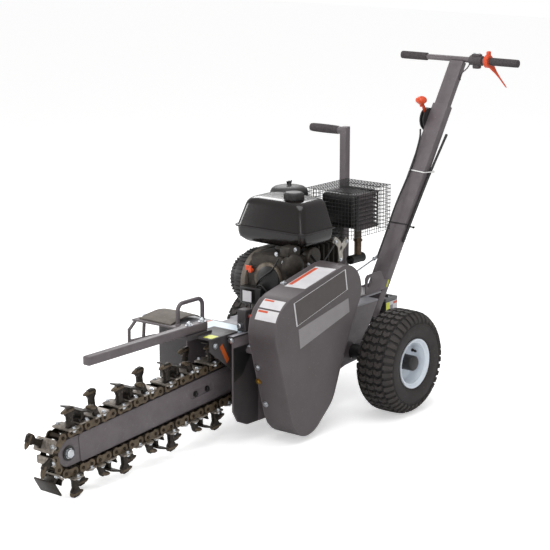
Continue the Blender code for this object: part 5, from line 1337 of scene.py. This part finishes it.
class TRENCHER_OT_exhaust(Step, bpy.types.Operator):
    """Model the louvred muffler, its pipe, and the wire cage round it"""

    bl_idname = "trencher.exhaust"
    bl_label = "Muffler and cage"

    def build(self, sizes, colours):
        self.muffler()
        self.cage(sizes)

    def muffler(self):
        """The muffler's drum and port, its louvred shield, and the pipe below it."""
        low, high = Vector((0.019, -0.098, 0.635)), Vector((0.161, 0.08, 0.775))
        drum = block("muffler_drum", low + Vector((0.008, 0.01, 0.006)),
                     high - Vector((0.008, 0.008, 0.006)), 0.018, 5)
        port = block("muffler_port", (-0.0297, -0.02, 0.56), (0.054, 0.03, 0.652), 0.004, 2)
        slat = plate("slat", [(0, 0), (0.0065, -0.006), (0.008, -0.0052), (0.0016, 0.0012)], "Y",
                     low.y + 0.02, high.y - 0.012, 0.0004, 1)
        rear = repeated("rear_slats", slat, [
            Matrix.Translation((high.x - 0.009, 0, low.z + 0.022 + 0.0135 * k)) for k in range(9)])
        side = plate("side_slat", [(0, 0), (-0.009, -0.009), (-0.01, -0.007), (-0.0012, 0.002)], "X",
                     low.x + 0.012, high.x - 0.008, 0.0004, 1)
        near = repeated("near_slats", side, [
            Matrix.Translation((0, low.y + 0.011, low.z + 0.02 + 0.015 * k)) for k in range(8)])
        rim = [block("louvre_rim", (low.x + 0.008, low.y + 0.0015, z),
                     (high.x - 0.002, low.y + 0.01, z + 0.009), 0.0012)
               for z in (low.z + 0.002, high.z - 0.011)]
        fitted(soften(joined("near_louvres", near, *rim)), "grey_louvre_steel")
        inner = high.x - 0.0035
        corners = [((inner, low.y, z), (high.x, high.y - 0.004, z + 0.008))
                   for z in (low.z + 0.004, high.z - 0.01)]
        corners += [((x - 0.004, low.y, low.z + 0.006), (x + 0.004, low.y + 0.0035, high.z - 0.004))
                    for x in (low.x + 0.01, high.x - 0.006)]
        corners += [((inner, y - 0.004, low.z + 0.006), (high.x, y + 0.004, high.z - 0.004))
                    for y in (low.y + 0.056, low.y + 0.112, high.y - 0.01)]
        shield = [block("shield_bar", *pair, 0.0008) for pair in corners]
        fitted(soften(joined("louvred_muffler", drum, port, rear, *shield)), "satin_black_enamel",
               ("muffler",))
        down = tube("down_pipe", smooth_route([
            (0.098, -0.05, 0.655), (0.098, -0.05, 0.6), (0.098, -0.05, 0.56), (0.098, -0.05, 0.535)],
            5), 0.014, 6)
        collar = turned("pipe_collar", [(0.014, 0), (0.0175, 0), (0.0175, 0.007), (0.014, 0.007)],
                        (0.098, -0.05, 0.585), "Z", 32, True)
        fitted(soften(joined("exhaust_pipe", down, collar)), "burnt_steel")
        stub = turned("stub", [(0.0115, 0), (0.017, 0), (0.017, 0.07), (0.0185, 0.072), (0.0185, 0.076),
                               (0.0135, 0.076), (0.0115, 0.07)], (0.05, -0.05, 0.52), "X", 40, True)
        fitted(stub, "satin_black_enamel")

    def cage(self, sizes):
        """Welded wire mesh on the top and four sides; its wires run on past the far end."""
        low, high = Vector((-0.032, -0.114, 0.621)), Vector((0.21, 0.091, 0.789))
        r, step = sizes.wire_radius, sizes.mesh_pitch
        wires = []

        def wire(name, points):
            """One thin round wire of the mesh."""
            wires.append(tube(name, [Vector(p) for p in points], r, 1))

        def span(start, end, count):
            """Evenly spaced values from start to end."""
            return [start + (end - start) * k / count for k in range(count + 1)]

        across_x = round((high.x - low.x) / step)
        across_y = round((high.y - low.y) / step)
        across_z = round((high.z - low.z) / step)
        for k, z in enumerate(span(low.z, high.z, across_z)):
            tail = high.x + (0.0075 if k % 2 else 0.0055)
            wire("near_line", [(low.x, low.y, z), (tail, low.y, z)])
            wire("far_line", [(low.x, high.y, z), (tail, high.y, z)])
            wire("front_line", [(low.x, low.y, z), (low.x, high.y, z)])
            wire("rear_line", [(high.x, low.y - 0.002, z + r), (high.x, high.y, z + r)])
        for k, y in enumerate(span(low.y, high.y, across_y)[1:-1]):
            tail = high.x + (0.0078 if k % 2 else 0.005)
            wire("top_line", [(low.x, y, low.z), (low.x, y, high.z), (tail, y, high.z)])
            wire("rear_post", [(high.x, y, low.z), (high.x, y, high.z)])
        for x in span(low.x, high.x, across_x):
            wire("hoop", [(x, low.y - r, low.z), (x, low.y - r, high.z + r),
                          (x, high.y + r, high.z + r), (x, high.y + r, low.z)])
        fitted(joined("wire_cage", *wires), "lacquered_wire", ("muffler_cage",))


class TRENCHER_OT_column(Step, bpy.types.Operator):
    """Dress the column, its foot, its ties and the conduit on its near side"""

    bl_idname = "trencher.column"
    bl_label = "Column"

    def build(self, sizes, colours):
        recast("lower_column", "frame", "powder_coated_steel", 0.0035, 3)
        recast("upper_column", "handle", "powder_coated_steel", 0.003, 3)
        recast("column_base", "frame", "powder_coated_steel", 0.0012)
        route = [Vector((0.702, -0.0413, 0.912)), Vector((0.57, -0.0413, 0.748)),
                 Vector((0.41, -0.0413, 0.526))]
        conduit = tube("conduit_tube", smooth_route(route, 10), 0.005, 4)
        ends = []
        for end in (route[0], route[2]):
            way = (end - route[1]).normalized()
            ends.append(bar("conduit_ferrule", 0.0054, end - way * 0.02, end - way * 0.001, 20, 0.001))
        fitted(joined("conduit_sleeve", conduit, *ends), "black_pvc", ("conduit",))
        self.ties()

    def ties(self):
        """A pale cable tie and a black one round the column, and a yellow patch at its foot."""
        def band(name, height, drop, finish):
            """A strap round the column at a height, its near side dropped, with its lock behind."""
            size = 0.0042
            middle = column_at(height)
            half_deep, half_wide = 0.02, 0.0385
            tilt = slope * drop
            corners = [forward * half_deep + Vector((0, -half_wide, 0)) - tilt,
                       forward * half_deep + Vector((0, half_wide, 0)) - tilt * 0.6,
                       -forward * half_deep + Vector((0, half_wide, 0)) + tilt,
                       -forward * half_deep + Vector((0, -half_wide - 0.012, 0)) + tilt * 0.8]
            loop = []
            for k, corner in enumerate(corners):
                following = corners[(k + 1) % 4]
                loop += [middle + corner.lerp(following, s / 4) for s in range(4)]
            strap = edited(drawn(name, loop, True, False), (
                bpy.ops.mesh.extrude_edges_move, {"TRANSFORM_OT_translate": {"value": slope * size}}))
            modified(strap, "SOLIDIFY", thickness=0.0012, offset=0)
            lock = block("tie_lock", (-0.003, -0.004, -0.0035), (0.004, 0.004, 0.0045), 0.0008)
            moved(lock, Matrix.Translation(middle + corners[3] + slope * size / 2))
            fitted(soften(tidy(joined(name, strap, lock))), finish)

        band("pale_tie", 0.778, 0.013, "natural_nylon")
        band("black_tie", 0.583, 0.003, "black_pvc")
        patch = [(0.297, 0.371), (0.3045, 0.3665), (0.3185, 0.392), (0.31, 0.396)]
        fitted(plate("column_patch", patch, "Y", -0.0428, -0.0424, 0), "yellow_film")


class TRENCHER_OT_controls(Step, bpy.types.Operator):
    """Model the T-handle, its foam grips, the stop housing and the two orange levers"""

    bl_idname = "trencher.controls"
    bl_label = "Controls"

    def build(self, sizes, colours):
        recast("tee_handle", "handle", "powder_coated_steel", 0.001, 2)
        recast("throttle_housing", "handle", "grey_nylon", 0.0012, 2)
        recast("quadrant", "frame", "black_abs", 0.001, 2)
        self.grips(sizes)
        self.stop_lever()
        self.clutch_lever()

    def grips(self, sizes):
        """Two ribbed foam sleeves, closed at their outer ends."""
        rib = sizes.grip_rib
        start, end = 0.1503, 0.2743
        count = round((end - start - 0.01) / rib)
        profile = [(0.0122, start), (0.0146, start), (0.0155, start + 0.002)]
        for k in range(count):
            y = start + 0.005 + k * rib
            profile += [(0.0157, y), (0.0157, y + rib * 0.55), (0.0148, y + rib * 0.68),
                        (0.0148, y + rib * 0.88)]
        profile += [(0.0155, end - 0.004), (0.015, end - 0.0015), (0.0125, end), (0, end),
                    (0, end - 0.002), (0.0122, end - 0.002)]
        for side, name in ((-1, "near"), (1, "far")):
            grip = turned(f"{name}_grip", [(r, side * y) for r, y in profile], tee, "Y", 28, True)
            fitted(grip, "closed_cell_foam", (f"grip_{name}",), body="handle")

    def stop_lever(self):
        """An orange hub with a thin tapering blade, and the clamp's moulded boss beside it."""
        hub = turned("stop_hub", [
            (0.0125, -0.1455), (0.0235, -0.1455), (0.0258, -0.143), (0.0258, -0.1285),
            (0.0235, -0.1262), (0.0125, -0.1262)], tee, "Y", 32, True)
        root = Vector((tee.x + 0.012, -0.138, tee.z - 0.012))
        tip = Vector((tee.x + 0.055, -0.19, tee.z - 0.105))
        way = (tip - root).normalized()
        side = way.cross(Vector((0, 1, 0))).normalized()
        flat = way.cross(side).normalized()
        rings = []
        for share, wide, thick in ((0, 0.017, 0.006), (0.12, 0.015, 0.0055), (0.35, 0.0075, 0.004),
                                   (0.6, 0.004, 0.003), (0.9, 0.0034, 0.0026), (1.0, 0.0018, 0.0014)):
            middle = root.lerp(tip, share)
            rings.append([tuple(middle + side * wide * math.cos(a) + flat * thick * math.sin(a))
                          for a in [2 * math.pi * k / 14 for k in range(14)]])
        blade = loft("stop_blade", rings)
        thumb = block("stop_thumb", (tee.x - 0.006, -0.144, tee.z + 0.018),
                      (tee.x + 0.01, -0.129, tee.z + 0.04), 0.0035, 3)
        fitted(soften(joined("stop_lever", hub, blade, thumb)), "orange_abs",
               ("throttle_lever",), body="throttle_lever")
        boss = block("stop_boss", (tee.x - 0.012, -0.104, tee.z + 0.014),
                     (tee.x + 0.01, -0.064, tee.z + 0.026), 0.004, 3)
        under = block("stop_under", (tee.x - 0.013, -0.1, tee.z - 0.032),
                      (tee.x + 0.011, -0.07, tee.z - 0.014), 0.005, 3)
        fitted(joined("stop_clamp", boss, under), "grey_nylon", body="handle")
        screws = [((tee.x, y, tee.z + 0.0262), (0, 0, 1)) for y in (-0.096, -0.072)]
        settled(bolts("stop_screws", screws, 0.004, 0.0036, 1.2), "handle", "zinc_plated_steel")

    def clutch_lever(self):
        """The clutch lever with its ball knob."""
        recast("clutch_lever", "clutch_lever", "orange_abs", 0.0006, 1)
        ball = turned("ball_knob", [
            (0, 0.0166), (0.008, 0.0156), (0.0155, 0.0124), (0.0205, 0.0078), (0.023, 0.0012),
            (0.0222, -0.0046), (0.0185, -0.0092), (0.012, -0.0138), (0.006, -0.0185), (0.0048, -0.026),
            (0, -0.026)], (0.6485, 0.0463, 1.0465), "Z", 40)
        fitted(ball, "orange_abs", body="clutch_lever")


class TRENCHER_OT_lift(Step, bpy.types.Operator):
    """Dress the far lift lever and its grip, and the battery in its tray"""

    bl_idname = "trencher.lift"
    bl_label = "Lift lever and battery"

    def build(self, sizes, colours):
        recast("lift_lever", "lift_lever", "powder_coated_steel", 0.0012, 2)
        rib = sizes.grip_rib
        start, end = 0.15, 0.2825
        profile = [(0, start), (0.015, start), (0.0158, start + 0.002)]
        for k in range(round((end - start - 0.012) / rib)):
            y = start + 0.006 + k * rib
            bulge = 0.0012 * math.sin(math.pi * (y - start) / (end - start))
            profile += [(0.0157 + bulge, y), (0.0157 + bulge, y + rib * 0.6),
                        (0.015 + bulge, y + rib * 0.72), (0.015 + bulge, y + rib * 0.9)]
        profile += [(0.015, end - 0.002), (0.012, end), (0, end)]
        grip = turned("lever_grip", profile, (0.245, 0, 0.966), "Y", 28)
        fitted(grip, "closed_cell_foam", body="lift_lever")
        recast("battery_tray", "frame", "satin_black_enamel", 0.001, 2)
        recast("battery", "frame", "black_abs", 0.002, 3)
        lid = block("battery_lid", (0.3078, -0.0355, 0.304), (0.3868, 0.1205, 0.317), 0.002, 3)
        cap = turned("vent_cap", [
            (0, 0.0035), (0.006, 0.0035), (0.007, 0.0025), (0.007, 0), (0, 0)], axis="Z", steps=16)
        caps = repeated("vent_caps", cap, [
            Matrix.Translation((0.366, y, 0.3168)) for y in (-0.018, 0.004, 0.026, 0.048, 0.07, 0.092)])
        fitted(joined("battery_top", lid, caps), "grey_polypropylene")
        for name, low, high, out, finish in (
                ("label", (0.309, 0.218), (0.3855, 0.3025), 0.0358, "pale_film"),
                ("patch", (0.3095, 0.219), (0.332, 0.3015), 0.0361, "yellow_film"),
                ("line", (0.358, 0.29), (0.3845, 0.299), 0.0361, "red_film"),
                ("rows", (0.336, 0.245), (0.354, 0.288), 0.0361, "grey_film")):
            film = block(f"battery_{name}", (low[0], -out, low[1]), (high[0], -0.0354, high[1]), 0)
            fitted(film, finish)
        top_film = block("battery_top_film", (0.312, -0.02, 0.3169), (0.356, 0.11, 0.3173), 0)
        fitted(top_film, "pale_film")


class TRENCHER_OT_wheels(Step, bpy.types.Operator):
    """Model the turf tyres block by block, the dished rims with valves, and the hub caps"""

    bl_idname = "trencher.wheels"
    bl_label = "Wheels"

    def build(self, sizes, colours):
        for side, name in ((-1, "near"), (1, "far")):
            centre = Vector((0, side * 0.313, axle_z))
            body = f"wheel_{name}"
            self.tyre(sizes, name, side, centre, body)
            self.rim(name, side, centre, body)

    def tyre(self, sizes, name, side, centre, body):
        """The carcass with its rings, the tread blocks and lugs, and the groove floor darkened as painted
        shade.
        """
        depth = sizes.tread_depth
        crown_radius, half_tread = 0.1838, 0.0745
        half = [(0.0763, 0.0595), (0.08, 0.0612), (0.087, 0.0622), (0.093, 0.0655), (0.095, 0.065),
                (0.105, 0.0705), (0.118, 0.0745), (0.13, 0.0758), (0.145, 0.0748), (0.16, 0.0705),
                (0.169, 0.064), (0.176, 0.055), (0.1808, 0.043), (0.1828, 0.03), (0.1835, 0.015),
                (crown_radius, 0)]
        profile = half + [(r, -h) for r, h in half[-2::-1]]
        carcass = turned(f"{name}_carcass", profile, centre, "Y", 96, True)

        def on_crown(turn, across_y, rise):
            """A point on the tread, at an angle, a distance across and a height over the grooves."""
            y = max(-1.0, min(1.0, across_y / half_tread))
            r = crown_radius - 0.003 * y ** 2 - 0.013 * abs(y) ** 5 + rise
            return (r * math.cos(turn), across_y, r * math.sin(turn))

        rows = sizes.tread_rows
        step = 2 * math.pi / rows
        shapes = []
        # Half a block's width across the tread, and its length and its wave as angles.
        wide, long, wave = 0.0143, step * 0.31, step * 0.19
        for column in (-1, 0, 1):
            middle = column * 0.0318
            edge = [(-wide, 0), (-wide * 0.55, wave * 0.15), (-wide * 0.2, wave), (wide * 0.2, wave),
                    (wide * 0.55, wave * 0.15), (wide, 0)]
            outline = [(a - long, y) for y, a in edge] + [(a + long, y) for y, a in edge[::-1]]
            low = [on_crown(a, middle + y, -0.0015) for a, y in outline]
            high = [on_crown(a * 0.92, middle + y * 0.9, depth * 0.95) for a, y in outline]
            block_shape = loft("tread_block", [low, high])
            offset = step * 0.06 * (column % 2)
            shapes.append(repeated(f"{name}_blocks_{column}", block_shape, [
                Matrix.Rotation(step * k + offset, 4, "Y") for k in range(rows)]))
        for edge in (-1, 1):
            low, high = [], []
            for a, y in ((-0.3, 0.0525), (-0.36, 0.065), (-0.3, 0.0765), (0.3, 0.0765), (0.36, 0.065),
                         (0.3, 0.0525)):
                base = 0.1775 - max(0.0, (y - 0.0525)) ** 1.35 * 3.1
                lift = 0.0068 if y < 0.07 else 0.0042
                for ring, extra, shrink in ((low, -0.004, 1.0), (high, lift, 0.9)):
                    r, turn = base + extra, a * step * shrink
                    ring.append((r * math.cos(turn), edge * y, r * math.sin(turn)))
            lug = loft("shoulder_lug", [low, high])
            shapes.append(repeated(f"{name}_lugs_{edge}", lug, [
                Matrix.Rotation(step * (k + 0.25 * edge), 4, "Y") for k in range(rows)]))
        blocks = moved(tidy(joined(f"{name}_tread", *shapes)), Matrix.Translation(centre))
        rings = [turned(f"{name}_ring_{k}", [(r, side * h), (r + 0.0022, side * (h + 0.0018)),
                                             (r + 0.0044, side * h)], centre, "Y", 96, True)
                 for k, (r, h) in enumerate(((0.101, 0.0688), (0.144, 0.075), (0.15, 0.0735)))]
        fitted(soften(joined(f"turf_tyre_{name}", carcass, *rings)), "turf_tyre_rubber",
               (f"tyre_{name}",), body=body)
        fitted(soften(blocks), "worn_tread_rubber", body=body)
        crown = [(0.1768, 0.0535), (0.1814, 0.043), (0.1834, 0.03), (0.1842, 0.015), (0.1845, 0)]
        crown += [(r, -h) for r, h in crown[-2::-1]]
        under = [(r - 0.002, h) for r, h in crown[::-1]]
        # The groove floor is painted shade between the blocks.
        groove = turned(f"{name}_groove_shade_floor", crown + under, centre, "Y", 96, True)
        fitted(groove, "groove_painted_shade", body=body)

    def rim(self, name, side, centre, body):
        """The dished rim, its valve and the cap on its hub."""
        half, seat, flange = 0.07, 0.076, 0.0916
        profile = [
            (flange, half), (flange - 0.0015, half + 0.0006), (flange - 0.006, half - 0.001),
            (0.0835, half - 0.006), (0.079, half - 0.0095), (0.0745, half - 0.018), (0.0725, 0.04),
            (0.0718, 0.024), (0.069, 0.0178), (0.064, 0.016), (0.05, 0.016), (0.044, 0.014),
            (0.034, 0.012), (0.0255, 0.0122), (0.0255, 0.015), (0.0133, 0.015), (0.0133, -0.078),
            (0.024, -0.078), (0.024, 0.005), (0.071, 0.005), (0.071, -half + 0.006),
            (flange, -half), (flange, -half + 0.005), (seat, -half + 0.01), (seat, half - 0.01),
            (flange, half - 0.005)]
        rim = turned(f"{name}_rim", [(r, side * h) for r, h in profile], centre, "Y", 72, True)
        fitted(rim, "white_rim_enamel", (f"rim_{name}",), body=body)
        stem = turned(f"{name}_valve", [
            (0, 0), (0.006, 0), (0.0056, 0.004), (0.0042, 0.007), (0.0038, 0.011), (0.0046, 0.012),
            (0.0046, 0.018), (0.0036, 0.02), (0, 0.02)], axis="Z", steps=20)
        angle = math.radians(28)
        out = Vector((math.cos(angle), 0, math.sin(angle)))
        foot = centre + out * 0.064 + Vector((0, side * 0.017, 0))
        fitted(moved(stem, facing(foot, Vector((0, side, 0)) - out * 0.15)), "black_pvc", body=body)
        cap = turned(f"{name}_hub_cap", [(r, side * h) for r, h in (
            (0, 0.07), (0.019, 0.07), (0.0245, 0.068), (0.0275, 0.064), (0.028, 0.058),
            (0.028, 0.019), (0.029, 0.018), (0.029, 0.0155), (0.013, 0.0155), (0.013, 0.058),
            (0, 0.058))], centre, "Y", 48)
        fitted(cap, "black_abs", (f"hub_cap_{name}",), body=body)


class TRENCHER_OT_stage(Step, bpy.types.Operator):
    """Set the camera, the lights, the white backdrop and the floor"""

    bl_idname = "trencher.stage"
    bl_label = "Stage"

    def build(self, sizes, colours):
        scene = bpy.context.scene
        pick()
        bpy.ops.object.camera_add(location=sizes.camera_place)
        camera = bpy.context.object
        right, up = Vector((0.6226, -0.7826, 0)), Vector((0.1796, 0.1429, 0.9733))
        back = right.cross(up)
        camera.rotation_euler = Matrix((right, up, back)).transposed().to_euler()
        camera.data.lens = sizes.camera_lens
        camera.data.sensor_width = 36
        scene.camera = camera
        scene.view_settings.view_transform = "Standard"
        self.world()
        self.lamps()
        bpy.ops.mesh.primitive_plane_add(size=30, location=(0, 0, 0))
        floor = bpy.context.object
        floor.name = "floor"
        floor.data.materials.append(self.paper())

    def world(self):
        """Soft light from all round, which the camera sees as plain white."""
        world = bpy.data.worlds.new("backdrop")
        bpy.context.scene.world = world
        world.use_nodes = True
        tree = world.node_tree
        lit = tree.nodes["Background"]
        lit.inputs["Color"].default_value = (1, 1, 1, 1)
        lit.inputs["Strength"].default_value = WORLD_LIGHT
        white = add(tree, "ShaderNodeBackground", values={"Color": (1, 1, 1, 1), "Strength": 1.0})
        rays = add(tree, "ShaderNodeLightPath")
        through = add(tree, "ShaderNodeMath", {
            0: (rays, "Is Camera Ray"), 1: (rays, "Is Transmission Ray")}, operation="MAXIMUM")
        both = add(tree, "ShaderNodeMixShader", {0: (through, 0), 1: (lit, 0), 2: (white, 0)})
        tree.links.new(both.outputs[0], tree.nodes["World Output"].inputs["Surface"])

    def lamps(self):
        """Four soft round lamps: above, in front, and two from the far side."""
        for name, place_at, aim, power, size in (
                ("overhead", (-0.6, -0.4, 3.6), (0, 0, 0.3), 62, 3.0),
                ("front", (-3.9, -2.4, 2.2), (0, 0, 0.4), 46, 2.2),
                ("far_rim", (2.4, 2.2, 2.4), (0, 0, 0.6), 34, 1.6),
                ("far_left", (-1.9, 3.6, 1.5), (-0.1, 0, 0.5), 42, 1.2)):
            lamp = bpy.data.lights.new(name, "AREA")
            lamp.energy = power
            lamp.shape = "DISK"
            lamp.size = size
            made = bpy.data.objects.new(name, lamp)
            made.location = place_at
            made.rotation_euler = (Vector(aim) - Vector(place_at)).to_track_quat("-Z", "Y").to_euler()
            bpy.context.collection.objects.link(made)

    def paper(self):
        """A white paper floor: diffuse, with a faint tooth."""
        made = bpy.data.materials.new("white_paper")
        made.use_nodes = True
        tree = made.node_tree
        shader = tree.nodes["Principled BSDF"]
        shader.inputs["Roughness"].default_value = 0.9
        where = add(tree, "ShaderNodeTexCoord")
        tooth = add(tree, "ShaderNodeTexNoise", {"Vector": (where, "Object")}, {"Scale": 900.0})
        mix = add(tree, "ShaderNodeMix", {0: (tooth, "Fac")},
                  {6: linear("#fbfbfb"), 7: linear("#f8f8f8")}, data_type="RGBA")
        tree.links.new(mix.outputs[2], shader.inputs["Base Color"])
        rays = add(tree, "ShaderNodeLightPath")
        glow = add(tree, "ShaderNodeMath", {0: (rays, "Is Camera Ray")}, {1: FLOOR_GLOW},
                   operation="MULTIPLY")
        tree.links.new(glow.outputs[0], shader.inputs["Emission Strength"])
        shader.inputs["Emission Color"].default_value = (1, 1, 1, 1)
        return made


steps = (
    TRENCHER_OT_finishes, TRENCHER_OT_cords, TRENCHER_OT_boom, TRENCHER_OT_chain, TRENCHER_OT_housing,
    TRENCHER_OT_switch, TRENCHER_OT_guard, TRENCHER_OT_drive, TRENCHER_OT_crankcase, TRENCHER_OT_tank,
    TRENCHER_OT_starter, TRENCHER_OT_intake, TRENCHER_OT_exhaust, TRENCHER_OT_column,
    TRENCHER_OT_controls, TRENCHER_OT_lift, TRENCHER_OT_wheels, TRENCHER_OT_stage)


class TRENCHER_PT_panel(bpy.types.Panel):
    """The modelling steps, their sizes and their colours."""

    bl_idname = "TRENCHER_PT_panel"
    bl_label = "Trencher"
    bl_space_type = "VIEW_3D"
    bl_region_type = "UI"
    bl_category = "Trencher"

    def draw(self, context):
        for group in (context.scene.trencher_sizes, context.scene.trencher_colours):
            for name in group.__annotations__:
                self.layout.prop(group, name)
        for step in steps:
            self.layout.operator(step.bl_idname)


def register():
    """Registers the classes and hangs the sizes and colours on the scene."""
    for made in (TrencherSizes, TrencherColours, *steps, TRENCHER_PT_panel):
        bpy.utils.register_class(made)
    bpy.types.Scene.trencher_sizes = bpy.props.PointerProperty(type=TrencherSizes)
    bpy.types.Scene.trencher_colours = bpy.props.PointerProperty(type=TrencherColours)


def unregister():
    """Takes back what register did."""
    del bpy.types.Scene.trencher_sizes
    del bpy.types.Scene.trencher_colours
    for made in (TRENCHER_PT_panel, *steps[::-1], TrencherColours, TrencherSizes):
        bpy.utils.unregister_class(made)


def main():
    """Registers the add-on, then runs every step in order."""
    register()
    for step in steps:
        getattr(bpy.ops.trencher, step.bl_idname.split(".")[1])()


if __name__ == "__main__":
    main()
